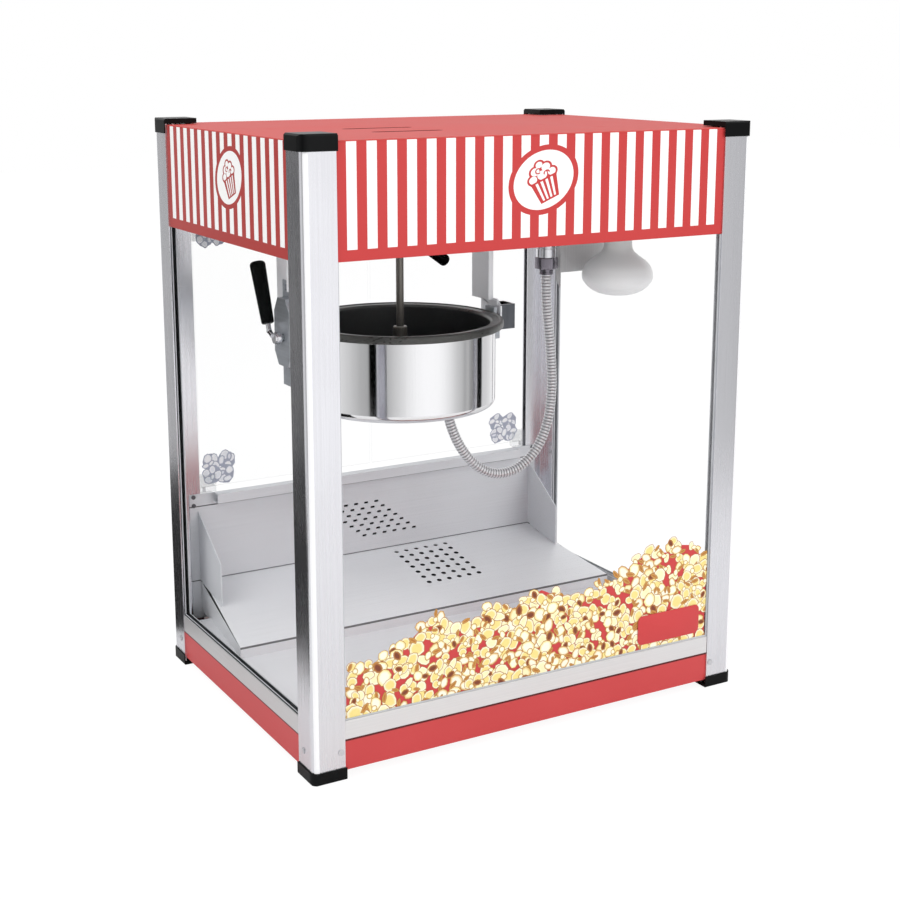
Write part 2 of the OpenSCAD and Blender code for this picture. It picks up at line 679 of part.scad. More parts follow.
// ---- doors ----
module post_hinges() {
  color([0.15, 0.15, 0.16]) for (s = [-1, 1]) mirrored(s, -1) {
    x0 = -door_edge; x1 = -hinge_x + clamp_w / 2;
    y = edge_y - door_in;
    box(x0, x1, edge_y - apron_in, y + door_t / 2 + cheek_t, block_low_z - block_h, block_low_z);
    box(x0, x1, edge_y - apron_in, edge_y - panel_in, block_top_z, block_top_z + block_h);
    translate([-hinge_x, y, block_low_z - 1]) cylinder(r = hinge_pin_r, h = web_h + 0.6);
    translate([-hinge_x, y, block_top_z + 1 - web_h - 0.6]) cylinder(r = hinge_pin_r, h = web_h + 0.6);
  }
}
module door_pane() {
  y = edge_y - door_in;
  color([0.9, 0.96, 0.97, 0.3]) box(-door_edge, -door_gap / 2, y - door_t / 2, y + door_t / 2,
      door_low, door_high);
}
module door_fittings() {
  y = edge_y - door_in;
  half_t = door_t / 2 + cheek_t;
  color([0.2, 0.2, 0.21]) {
    difference() {
      union() {
        box(-door_edge, -door_edge + clamp_w, y - half_t, y + half_t, block_low_z + hinge_air,
            door_low + clamp_h);
        box(-door_edge, -door_edge + clamp_w, y - half_t, y + half_t, door_high - clamp_h,
            block_top_z - hinge_air);
      }
      box(-door_edge - 1, -door_edge + clamp_w + 1, y - door_t / 2, y + door_t / 2, door_low, door_high);
      translate([-hinge_x, y, canopy_bottom / 2]) cylinder(r = hinge_pin_r + run_clear,
          h = canopy_h * 6, center = true);
    }
    // knob and its foot outside, on the glass
    translate([-door_gap / 2 - 22, y + door_t / 2, knob_z]) rotate([-90, 0, 0]) rotate_extrude()
      polygon(concat([[0, 0], [knob_r * 0.6, 0], [knob_r * 0.6, 2.5]], arc(knob_r - 2, knob_h - 2, 2,
          -60, 90), [[0, knob_h]]));
    // steel disc for the magnet
    translate([-door_gap / 2 - 12, y - door_t / 2, door_high - 8]) rotate([90, 0, 0]) cylinder(r = 6, h = 1);
  }
}
module door_catch() {
  y1 = edge_y - door_in - door_t / 2 - 1.3;
  color([0.15, 0.15, 0.16]) {
    box(-catch_w / 2, catch_w / 2, y1 - 9, y1, door_high - 15, block_top_z + 6);
    box(-catch_w / 2, catch_w / 2, y1 - 9, edge_y - panel_in, block_top_z + 6 - eps, block_top_z + 12);
  }
}

// ---- kettle ----
module kettle_pan() {
  r = pan_r; o = pan_r + pan_t; f = pan_floor;
  color([0.13, 0.13, 0.14]) translate([kettle_x, 0, 0]) {
    rotate_extrude($fn = 96) polygon(concat(
      [[0, f - pan_t]], arc(o - pan_round, f - pan_t + pan_round, pan_round, -90, 0),
      [[o, rim_low], [rim_r - 1.5, rim_low]], arc(rim_r - 1.5, rim_low + 1.5, 1.5, -90, 0, 3),
      arc(rim_r - 3, rim_top - 3, 3, 0, 90, 4), [[r + 6, rim_top - 0.6]], arc(r + 6, rim_top - 6.6, 6,
          90, 180, 4),
      arc(r - pan_round + pan_t, f + pan_round - pan_t, pan_round - pan_t, 0, -90), [[0, f]]));
    translate([0, 0, f - 0.5]) cylinder(r = pivot_pin_r, h = 8.5);
  }
}
module kettle_shell() {
  s = shell_r; t = shell_t; b = shell_low; k = 9;
  color([0.8, 0.8, 0.82]) translate([kettle_x, 0, 0]) rotate_extrude($fn = 96) polygon(concat(
    [[s - k - 14, b]], arc(s - k, b + k, k, -90, 0), [[s, rim_low], [s - t, rim_low]],
    arc(s - k, b + k, k - t, 0, -90), [[s - k - 14, b + t]]));
}
module kettle_heater() {
  color([0.5, 0.5, 0.52]) translate([kettle_x, 0, 0]) {
    translate([0, 0, heater_top - heater_t + 4]) cylinder(r = pan_r - pan_round - 2, h = heater_t - 4);
    for (q = [48, 76]) translate([0, 0, heater_top - heater_t + 4]) rotate_extrude() intersection() {
      translate([q, 0]) circle(3.2, $fn = 20);
      translate([q - 5, -5]) square([10, 5]);
    }
  }
}
module kettle_base_plate() {
  color([0.7, 0.71, 0.73]) difference() {
    translate([kettle_x, 0, shell_low + shell_t]) cylinder(r = shell_r - 14, h = 1.5);
    translate([inlet_x, 0, shell_low - 1]) cylinder(r = 7, h = 6);
  }
}
module conduit_inlet() {
  color("silver") translate([inlet_x, 0, 0]) {
    difference() {
      union() {
        translate([0, 0, shell_low - 12]) cylinder(r = 8.5, h = 6.5);
        translate([0, 0, shell_low - 6]) cylinder(r = 11, h = 7.2, $fn = 6);
        translate([0, 0, shell_low - 1]) cylinder(r = 7, h = shell_t + 6);
        translate([0, 0, shell_low + shell_t + 1.5]) cylinder(r = 10, h = 3, $fn = 6);
      }
      translate([0, 0, shell_low - 13]) cylinder(r = conduit_r - 1, h = 30);
    }
  }
}
// bracket welded to the shell, with the arm and pin of the tilt axis; side 1 is the right, -1 the left
module pivot_bracket(side, pin_end) {
  mirror([side < 0 ? 1 : 0, 0, 0]) {
    difference() {
      box(shell_r - 8, arm_in + arm_t, -16, 16, pivot_z - 24, rim_low - 0.2);
      translate([0, 0, pivot_z - 30]) cylinder(r = shell_r, h = 60, $fn = 96);
    }
    box(arm_in, arm_in + arm_t, -10, 10, pivot_z - 24, pivot_z + 13);
    translate([arm_in + arm_t - 1, 0, pivot_z]) rotate([0, 90, 0]) cylinder(r = pivot_pin_r,
        h = pin_end - arm_in - arm_t + 1);
  }
}
module kettle_pivot_right() {
  pin_end = right_ear + hanger_t + 15 - kettle_x;
  color([0.72, 0.73, 0.75]) translate([kettle_x, 0, 0]) {
    pivot_bracket(1, pin_end);
    translate([pin_end - 3, 0, pivot_z]) rotate([0, 90, 0]) cylinder(r = pivot_pin_r + 3, h = 2);
  }
}
module kettle_pivot_left() {
  color([0.72, 0.73, 0.75]) translate([kettle_x, 0, 0]) pivot_bracket(-1, kettle_x - hub_x);
}
module tilt_handle_rod() {
  color("silver") {
    difference() {
      translate([hub_x + 1, 0, pivot_z]) rotate([0, 90, 0]) union() {
        cylinder(r = pivot_pin_r + 3, h = hub_t);
        translate([0, 0, -2.5]) cylinder(r = pivot_pin_r + 2, h = 2.6);
      }
      translate([hub_x - 2 + 2, 0, pivot_z]) rotate([0, 90, 0]) cylinder(r = pivot_pin_r + run_clear, h = 12);
    }
    translate([hub_x - 1, 0, pivot_z]) {
      elbow = atan2(grip_off[1], grip_off[0]);
      reach = norm(grip_off);
      rotate([elbow, 0, 0]) rotate([-90, 0, 0]) translate([0, 0,
          pivot_pin_r + 0.5]) cylinder(r = rod_r, h = reach - pivot_pin_r - 0.5);
      translate([0, grip_off[0], grip_off[1]]) {
        sphere(rod_r + 0.5, $fn = 24);
        rotate([grip_lean, 0, 0]) rotate([-90, 0, 0]) cylinder(r = rod_r, h = 30);
      }
    }
  }
}
module tilt_handle_grip() {
  color([0.08, 0.08, 0.08]) translate([hub_x - 1, grip_off[0], pivot_z + grip_off[1]])
    rotate([grip_lean, 0, 0]) rotate([-90, 0, 0]) difference() {
      translate([0, 0, 9]) rotate_extrude() polygon(concat([[0, 0]], arc(grip_r * 0.8 - 2, 2, 2, -90, 0, 3),
        arc(grip_r - 4, grip_len - 4, 4, 0, 90, 4), [[0, grip_len]]));
      translate([0, 0, 8]) cylinder(r = rod_r, h = 22);
    }
}

// ---- hangers ----
// tab under the ceiling that a strap is screwed up by
module strap_tab(x0, x1) { box(x0, x1, hanger_y, hanger_y + hanger_w, ceiling_z - hanger_t, ceiling_z); }
module pin_hole(x0, len) {
  translate([x0, 0, pivot_z]) rotate([0, 90, 0]) cylinder(r = pivot_pin_r + run_clear, h = len);
}
module hanger_right() {
  p = right_plate; q = right_ear; y0 = hanger_y; y1 = hanger_y + hanger_w;
  step_y = y1 - hanger_w * 0.3;
  color([0.8, 0.81, 0.83]) difference() {
    union() {
      box(p, p + hanger_t, y0, y1, ear_top, ceiling_z);
      box(p, p + hanger_rib, y0, y0 + hanger_t, ear_top, ceiling_z);
      strap_tab(p, p + hanger_t + hanger_tab);
      box(p, q + hanger_t, y0, step_y, ear_top, ear_top + hanger_t);
      along_x(q, hanger_t) polygon([[step_y, ear_top + hanger_t], [step_y, pivot_z + 6], [ear_r + 2, ear_low],
        [-ear_r, ear_low], [-ear_r, pivot_z + ear_r], [-ear_r / 3, ear_top + hanger_t]]);
      // open box round the end of the pin
      difference() {
        box(q + eps, q + hanger_t + clasp_d, -ear_r + 1, ear_r - 1, ear_low, pivot_z + ear_r + 2);
        box(q + hanger_t, q + clasp_d, -ear_r + 3, ear_r - 3, ear_low + hanger_t, ear_top);
      }
      // hook strip across the strap's foot
      along_x(q - 1.4, 1.5) polygon([[y1 + 3, ear_top + 9], [y1 + 3, ear_top + 4], [6, ear_top - 7],
        [-8, ear_top - 5], [-8, ear_top], [4, ear_top + 1]]);
    }
    pin_hole(q - 5, hanger_t + 7);
  }
}
module hanger_left() {
  p = left_plate; y0 = hanger_y; y1 = hanger_y + hanger_w;
  foot = pivot_z - housing_down - 1;
  color([0.8, 0.81, 0.83]) difference() {
    union() {
      along_x(p, hanger_t) polygon([[y0, ceiling_z], [y1, ceiling_z], [y1, ear_top + 4],
        [2 * ear_r, foot], [-ear_r - 4, foot], [-ear_r - 4, ear_top], [y0, ear_top + ear_r]]);
      box(p + hanger_t - hanger_rib, p + hanger_t, y0, y0 + hanger_t, pivot_z + housing_up + 6, ceiling_z);
      strap_tab(p - hanger_tab, p + hanger_t);
    }
    pin_hole(p - 5, hanger_t + 7);
  }
}
// side view of the housing, in Y and Z about the tilt axis, drawn in by inset
module housing_outline(inset) {
  a = housing_half - inset; u = housing_up - inset; d = housing_down - inset; cut = 10 - inset * 0.4;
  translate([housing_back, pivot_z]) polygon([[-a, u - 1.4 * cut], [-a + cut, u], [a - cut, u], [a,
      u - 1.6 * cut],
    [a, -d + 1.5 * cut], [a - cut, -d], [-a + 0.6 * cut, -d], [-a, -d + cut]]);
}
module pivot_housing() {
  p = left_plate; t = 1.5; screw_y = hanger_y + hanger_t + 9; tab_top = housing_up + 18;
  color([0.74, 0.76, 0.78]) {
    difference() {
      union() {
        along_x(p - housing_d, housing_d) housing_outline(0);
        box(p - housing_d * 0.6, p, -ear_r + 2, ear_r - 2, pivot_z - housing_down - 23,
            pivot_z - housing_down + 1);
        box(p - t, p, hanger_y + hanger_t + 0.5, screw_y + 9, pivot_z + housing_up - 4, pivot_z + tab_top);
      }
      along_x(p - housing_d + t, housing_d) housing_outline(t);
      translate([p - housing_d - 1, 0, pivot_z]) rotate([0, 90, 0]) cylinder(r = pivot_pin_r + 0.4, h = 5);
    }
    translate([p - t - 2.2, screw_y, pivot_z + tab_top - 8]) rotate([0, 90, 0]) cylinder(r = 3.4, h = 2.3);
  }
}

// ---- stirrer and drive ----
module stirrer() {
  color([0.62, 0.62, 0.64]) translate([kettle_x, 0, 0]) difference() {
    union() {
      translate([0, 0, pan_floor + 0.5]) rotate_extrude() polygon([[0, 0], [12, 0], [12, 9], [7, 14.5],
          [0, 14.5]]);
      translate([0, 0, hub_top - 1]) cylinder(r = shaft_r, h = stub_top - hub_top + 1);
      translate([0, 0, (stub_top + tongue_top) / 2]) cube([tongue_t, 2 * shaft_r - 2,
          tongue_top - stub_top + 2 * eps], center = true);
      for (a = [0, 180]) rotate(a) {
        translate([8, -5, pan_floor + 2]) cube([stir_r - 8, 10, 2]);
        translate([stir_r - 14, -1.5, pan_floor + 2]) cube([14, 3, 9]);
      }
      for (a = [90, 270]) rotate(a) translate([8, -4, pan_floor + 4]) cube([stir_r * 0.62, 8, 2]);
    }
    translate([0, 0, pan_floor - 1]) cylinder(r = pivot_pin_r + run_clear, h = 10);
  }
}
module drive_shaft() {
  color([0.55, 0.54, 0.53]) translate([kettle_x, 0, 0]) difference() {
    union() {
      translate([0, 0, pivot_z - 2]) cylinder(r = shaft_r, h = motor_z + 22 - pivot_z + 2);
      translate([0, 0, sleeve_low]) rotate_extrude() polygon([[0, 0], [sleeve_r, 0], [sleeve_r,
          sleeve_len - 1], [sleeve_r - 1, sleeve_len], [0, sleeve_len]]);
    }
    // open slot that drops over the stirrer's tongue
    translate([0, 0, sleeve_low + 9]) cube([tongue_t + 0.4, 4 * sleeve_r, 22], center = true);
  }
}
module gear_motor() {
  color([0.6, 0.61, 0.63]) translate([kettle_x, 0, 0]) difference() {
    union() {
      box(-gearbox_w / 2, gearbox_w / 2, -gearbox_d / 2, gearbox_d / 2, motor_z, motor_z + gearbox_h);
      for (x = [-1, 1], y = [-1, 1]) translate([x * (gearbox_w / 2 - 9), y * (gearbox_d / 2 - 8),
          ceiling_z + sheet_t])
        cylinder(r = 5, h = motor_z - ceiling_z - sheet_t + 1);
      translate([gearbox_w / 2 - motor_r - 4, 0, motor_z + gearbox_h - 1]) cylinder(r = motor_r,
          h = motor_h + 1);
      translate([0, 0, ceiling_z + sheet_t + 0.5]) cylinder(r = 12, h = 5);
    }
    translate([0, 0, ceiling_z]) cylinder(r = shaft_r + run_clear, h = motor_z + 24 - ceiling_z);
  }
}

// ---- conduit ----
function unit(v) = v / norm(v);
function tangent(p, i) = unit(p[min(i + 1, len(p) - 1)] - p[max(i - 1, 0)]);
module swept_tube(p, r, sides) {
  // the route lies in one plane across Y, so each ring is spanned by Y and the cross of Y with its tangent
  points = [for (i = [0:len(p) - 1], k = [0:sides - 1])
    let (t = tangent(p, i), n = unit(cross([0, 1, 0], t)), a = 360 * k / sides)
    p[i] + r * (cos(a) * [0, 1, 0] + sin(a) * n)];
  last = (len(p) - 1) * sides;
  faces = concat([[for (k = [0:sides - 1]) k]], [[for (k = [sides - 1:-1:0]) last + k]],
    [for (i = [0:len(p) - 2], k = [0:sides - 1]) let (m = (k + 1) % sides)
      each [[i * sides + k, (i + 1) * sides + k, (i + 1) * sides + m], [i * sides + k,
          (i + 1) * sides + m, i * sides + m]]]);
  polyhedron(points, faces, convexity = 6);
}
module conduit() { color([0.75, 0.74, 0.76]) swept_tube(route, conduit_r, 12); }
module conduit_connector() {
  z = ceiling_z - connector_len;
  color([0.85, 0.85, 0.88]) translate([conduit_x, 0, 0]) difference() {
    union() {
      translate([0, 0, z]) cylinder(r = connector_r, h = connector_len);
      translate([0, 0, z - 14]) cylinder(r = connector_r + 1.5, h = 14.5);
      translate([0, 0, ferrule_z + 3]) cylinder(r = conduit_r + 2.2, h = 8);
      translate([0, 0, ceiling_z - 1]) cylinder(r = 8, h = sheet_t + 9);
      translate([0, 0, ceiling_z + sheet_t]) cylinder(r = 13, h = 5, $fn = 6);
    }
    translate([0, 0, ferrule_z - 1]) cylinder(r = conduit_r - 1, h = ceiling_z - ferrule_z + 20);
  }
}

// ---- lamp ----
shield_y = lamp_y + bulb_r + shield_gap;
module lamp_shield() {
  x0 = lamp_x - shield_left; x1 = x0 + shield_w; z0 = ceiling_z - shield_h;
  color([0.5, 0.5, 0.5]) {
    box(x0, x1, shield_y, shield_y + sheet_t, z0, ceiling_z);
    along_x(x0, sheet_t) polygon([[shield_y + sheet_t, ceiling_z], [shield_y + sheet_t, z0 - wing_d],
      [shield_y - wing_d, z0 - 2 * wing_d], [shield_y - wing_d, ceiling_z]]);
    box(x0, x1, shield_y, shield_y + flange, ceiling_z - sheet_t, ceiling_z);
  }
}
bulb_top = ceiling_z - holder_h;
neck_r = 13.7;                               // the bulb's cap inside its holder
module lamp_holder() {
  color([0.9, 0.9, 0.88]) translate([lamp_x, lamp_y, 0]) difference() {
    union() {
      translate([0, 0, bulb_top - 1]) cylinder(r = holder_r, h = ceiling_z - bulb_top + 1);
      translate([0, 0, ceiling_z - 1]) cylinder(r = 5.5, h = sheet_t + 5);
    }
    translate([0, 0, bulb_top - 2]) cylinder(r = neck_r + 0.3, h = 26);
  }
}
// lamp's outline from its crown: share of its radius, height
bulb_form = [[0, 0], [0.28, 0.7], [0.5, 2.6], [0.68, 5.8], [0.82, 10], [0.92, 14.8], [0.98, 19],
  [1, 23.5], [0.985, 28.5], [0.915, 36.3], [0.77, 42.7], [0.575, 49], [0.445, 54.4], [0.395, 60.8]];
module lamp_bulb() {
  b = bulb_top - bulb_len; w = bulb_r;
  color([0.86, 0.87, 0.88]) translate([lamp_x, lamp_y, 0]) rotate_extrude() polygon(concat(
    [for (p = bulb_form) [p[0] * w, b + p[1]]],
    [[w * 0.385, bulb_top - 4], [neck_r, bulb_top - 1], [neck_r, bulb_top + 22], [0, bulb_top + 22]]));
}

// ---- lever under the canopy ----
module lever_bracket() {
  p = lever_pivot;
  color("silver") difference() {
    union() {
      box(p[0] - 10, p[0] + 10, p[1] - 9, p[1] + 9, ceiling_z - 2, ceiling_z);
      for (y = [-9, 7]) box(p[0] - 6, p[0] + 6, p[1] + y, p[1] + y + 2, p[2] - 6, ceiling_z - 1);
    }
    translate([p[0], p[1], p[2]]) rotate([90, 0, 0]) cylinder(r = 2.5 + run_clear, h = 30, center = true);
  }
}
module at_lever() { translate(lever_pivot) rotate([0, lever_drop, 0]) children(); }
module lever_arm() {
  color("silver") at_lever() {
    rotate([90, 0, 0]) cylinder(r = 2.5, h = 20, center = true);
    rotate([90, 0, 0]) cylinder(r = 5.5, h = 12, center = true);
    translate([3, 0, 0]) rotate([0, 90, 0]) cylinder(r = 2.8, h = lever_len);
  }
}
module lever_grip() {
  color([0.08, 0.08, 0.08]) at_lever() translate([48, 0, 0]) rotate([0, 90, 0]) difference() {
    rotate_extrude() polygon(concat([[0, 0]], arc(4.5, 1.5, 1.5, -90, 0, 3), arc(3, lever_grip_len - 4,
        4, 0, 90, 4), [[0, lever_grip_len]]));
    translate([0, 0, -1]) cylinder(r = 2.8, h = lever_len - 48 + 4);
  }
}

// ---- switches and cord gland on the operator's side ----
module at_rocker(i) { translate([switch_mid_x + i * rocker_step, edge_y - panel_in + rocker_pivot,
    switch_z]) children(); }
module rocker_shape() {
  // side view of a rocker about its axis; Y points out of the machine
  h = rocker_h / 2;
  polygon([[-6, -h + 2], [1.8, -h], [0.5, 0], [1.8, h], [-6, h - 2]]);
}
module rocker(i) {
  color([0.12, 0.12, 0.12]) at_rocker(i) rotate([-8, 0, 0]) {
    along_x(-rocker_w / 2, rocker_w) rocker_shape();
    rotate([0, 90, 0]) cylinder(r = 1.5, h = rocker_w + 3, center = true);
  }
}
module switch_housing() {
  w = rocker_step + rocker_w; in = edge_y - panel_in;
  color([0.16, 0.16, 0.17]) difference() {
    union() {
      translate([switch_mid_x, 0, switch_z]) box(-w, w, in - 14, in + sheet_t + 0.1, -rocker_h / 2 - 3,
          rocker_h / 2 + 3);
      translate([switch_mid_x, 0, switch_z]) box(-w - 3, w + 3, edge_y - post_wall, edge_y - 0.2,
          -rocker_h / 2 - 6, rocker_h / 2 + 6);
    }
    for (i = [-1:1]) at_rocker(i) {
      box(-rocker_w / 2 - 0.4, rocker_w / 2 + 0.4, -12, 12, -rocker_h / 2 - 1.2, rocker_h / 2 + 1.2);
      rotate([0, 90, 0]) cylinder(r = 1.5 + run_clear, h = rocker_w + 4, center = true);
    }
  }
}
module cord_gland() {
  color([0.1, 0.1, 0.1]) translate([gland_x, edge_y - panel_in, switch_z]) rotate([-90, 0, 0]) difference() {
    union() {
      translate([0, 0, -9]) cylinder(r = 7.8, h = 9 + sheet_t + 1.3);
      translate([0, 0, -7]) cylinder(r = 12, h = 7, $fn = 6);
      translate([0, 0, sheet_t]) cylinder(r = 11, h = 1.6, $fn = 6);
      translate([0, 0, sheet_t + 1.2]) cylinder(r = 7, h = 1.2);
    }
    translate([0, 0, -10]) cylinder(r = 4, h = 24);
  }
}

post(-1, -1);  // post_front_left
post(1, -1);  // post_front_right
post(-1, 1);  // post_rear_left
post(1, 1);  // post_rear_right
top_caps();
corner_feet();
corner_screws();
base_pan();
rail(edge_x, edge_y);  // rail_front
rotate(-90) rail(edge_y, edge_x);  // rail_left
rotate(90) rail(edge_y, edge_x);  // rail_right
glass(edge_x, edge_y);  // glass_front
rotate(-90) glass(edge_y, edge_x);  // glass_left
rotate(90) glass(edge_y, edge_x);  // glass_right
glass_gaskets();
color([0.82, 0.3, 0.3]) canopy_panel(edge_x, edge_y);  // canopy_front_panel
color([0.82, 0.3,  // canopy_left_panel
    0.3]) rotate(-90) canopy_panel(edge_y, edge_x);
color([0.82, 0.3,  // canopy_right_panel
    0.3]) rotate(90) canopy_panel(edge_y, edge_x);
canopy_rear_panel();
top_cover();
ceiling_plate();
deck_plate();
rear_apron();
kernel_drawer();
drawer_pull();
post_hinges();
door_catch();
door_pane();  // door_left_pane
door_fittings();  // door_left_fittings
mirror([1, 0, 0]) door_pane();  // door_right_pane
mirror([1, 0, 0]) door_fittings();  // door_right_fittings
hanger_left();
hanger_right();
pivot_housing();
kettle_shell();
kettle_pan();
kettle_heater();
kettle_base_plate();
kettle_pivot_left();
kettle_pivot_right();
tilt_handle_rod();
tilt_handle_grip();
conduit_inlet();
stirrer();
drive_shaft();
gear_motor();
conduit();
conduit_connector();
lamp_shield();
lamp_holder();
lamp_bulb();
lever_bracket();
lever_arm();
lever_grip();
switch_housing();
rocker(-1);  // rocker_heat
rocker(0);  // rocker_motor
rocker(1);  // rocker_light
cord_gland();
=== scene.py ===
"""Dresses the table-top popcorn maker: glass cabinet, striped canopy, tilting kettle, fittings."""

import json
import logging
import math
import random
from collections.abc import Callable, Iterable, Sequence
from dataclasses import dataclass
from enum import Enum
from functools import reduce
from itertools import pairwise
from typing import Any

import bpy
from mathutils import Matrix, Vector
from mathutils.kdtree import KDTree


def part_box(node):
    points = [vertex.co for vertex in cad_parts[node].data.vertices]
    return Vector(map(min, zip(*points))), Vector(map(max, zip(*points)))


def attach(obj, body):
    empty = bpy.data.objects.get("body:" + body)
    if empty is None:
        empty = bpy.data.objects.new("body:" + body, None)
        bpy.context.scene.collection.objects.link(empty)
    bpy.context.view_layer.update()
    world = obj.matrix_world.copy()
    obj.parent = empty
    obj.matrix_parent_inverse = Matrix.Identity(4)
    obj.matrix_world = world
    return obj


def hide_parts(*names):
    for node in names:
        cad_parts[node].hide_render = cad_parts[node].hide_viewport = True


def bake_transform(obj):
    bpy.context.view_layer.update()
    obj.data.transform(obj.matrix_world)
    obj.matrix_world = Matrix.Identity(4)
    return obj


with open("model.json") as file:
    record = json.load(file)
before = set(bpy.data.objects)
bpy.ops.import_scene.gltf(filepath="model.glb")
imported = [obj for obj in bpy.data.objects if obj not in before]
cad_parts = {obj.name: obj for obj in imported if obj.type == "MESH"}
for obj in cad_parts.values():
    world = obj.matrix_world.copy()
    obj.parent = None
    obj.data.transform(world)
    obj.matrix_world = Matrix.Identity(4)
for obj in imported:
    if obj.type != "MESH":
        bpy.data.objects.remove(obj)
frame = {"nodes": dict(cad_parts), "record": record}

Point = tuple[float, float, float]
Flat = tuple[float, float]
Shade = tuple[float, float, float, float]
Thing = bpy.types.Object
Face = bpy.types.MeshPolygon

log = logging.getLogger("popcorn_maker")


class Axis(Enum):
    """The way along which a pattern runs."""

    X = 0
    Y = 1
    Z = 2


def srgb(red: float, green: float, blue: float) -> Shade:
    """Turns a display colour, 0 to 255, into the linear colour that shaders take.

    Args:
        red: Red, 0 to 255.
        green: Green, 0 to 255.
        blue: Blue, 0 to 255.

    Returns:
        Linear red, green, blue and an alpha of 1.
    """
    def linear(value: float) -> float:
        """One channel's linear value."""
        share = value / 255
        return share / 12.92 if share <= 0.04045 else ((share + 0.055) / 1.055) ** 2.4

    return (linear(red), linear(green), linear(blue), 1.0)


def toned(colour: Shade, factor: float, lift: float = 0.0) -> Shade:
    """The colour with each part multiplied and lifted, white at most."""
    return (*(min(1.0, part * factor + lift) for part in colour[:3]), 1.0)


def read_off(line: Sequence[Flat], at: float) -> float:
    """The height at a place along a line of straight pieces.

    Args:
        line: Places and heights, in order.
        at: The place.

    Returns:
        The height there.
    """
    for (a0, b0), (a1, b1) in pairwise(line):
        if a0 <= at <= a1:
            return b0 + (b1 - b0) * (at - a0) / (a1 - a0)
    return line[0][1] if at < line[0][0] else line[-1][1]


def within(place: Sequence[float], low: Sequence[float], high: Sequence[float]) -> bool:
    """True where each coordinate lies between its two limits."""
    return all(a < middle < b for a, middle, b in zip(low, place, high))


def arc(cx: float, cz: float, radius: float, start: float, end: float, steps: int = 8) -> list[Flat]:
    """Points on an arc of a turned profile.

    Args:
        cx: Centre's distance from the turning axis.
        cz: Centre's height.
        radius: Radius of the arc.
        start: First angle in degrees.
        end: Last angle in degrees.
        steps: Number of chords.

    Returns:
        The points, first and last included.
    """
    angles = [math.radians(start + (end - start) * i / steps) for i in range(steps + 1)]
    return [(cx + radius * math.cos(a), cz + radius * math.sin(a)) for a in angles]


# Shader graph


def by_math(operation: str, swap: bool = False) -> Callable[["Sock", "Sock | float"], "Sock"]:
    """A method of Sock that joins it to another value by one Math node.

    Args:
        operation: The Math node's operation.
        swap: Puts the other value first.

    Returns:
        The method.
    """
    def method(self: "Sock", other: "Sock | float") -> "Sock":
        """The joined value."""
        first, second = (other, self) if swap else (self, other)
        return self.graph.node("ShaderNodeMath", {"operation": operation}, {0: first, 1: second})

    return method


class Sock:
    """One output of a node, on which Python's operators add Math nodes."""

    def __init__(self, graph: "Graph", socket: bpy.types.NodeSocket) -> None:
        """Keeps the graph and the socket."""
        self.graph = graph
        self.socket = socket

    def alone(self, operation: str) -> "Sock":
        """Adds one Math node on this value only."""
        return self.graph.node("ShaderNodeMath", {"operation": operation}, {0: self})

    __add__ = __radd__ = by_math("ADD")
    __mul__ = __rmul__ = by_math("MULTIPLY")
    __sub__, __rsub__ = by_math("SUBTRACT"), by_math("SUBTRACT", swap=True)
    __truediv__ = by_math("DIVIDE")
    __lt__, __gt__ = by_math("LESS_THAN"), by_math("GREATER_THAN")
    least, most = by_math("MINIMUM"), by_math("MAXIMUM")

    def __abs__(self) -> "Sock":
        """The value without its sign."""
        return self.alone("ABSOLUTE")

    def wrap(self) -> "Sock":
        """The part after the decimal point."""
        return self.alone("FRACT")

    def root(self) -> "Sock":
        """The square root."""
        return self.alone("SQRT")


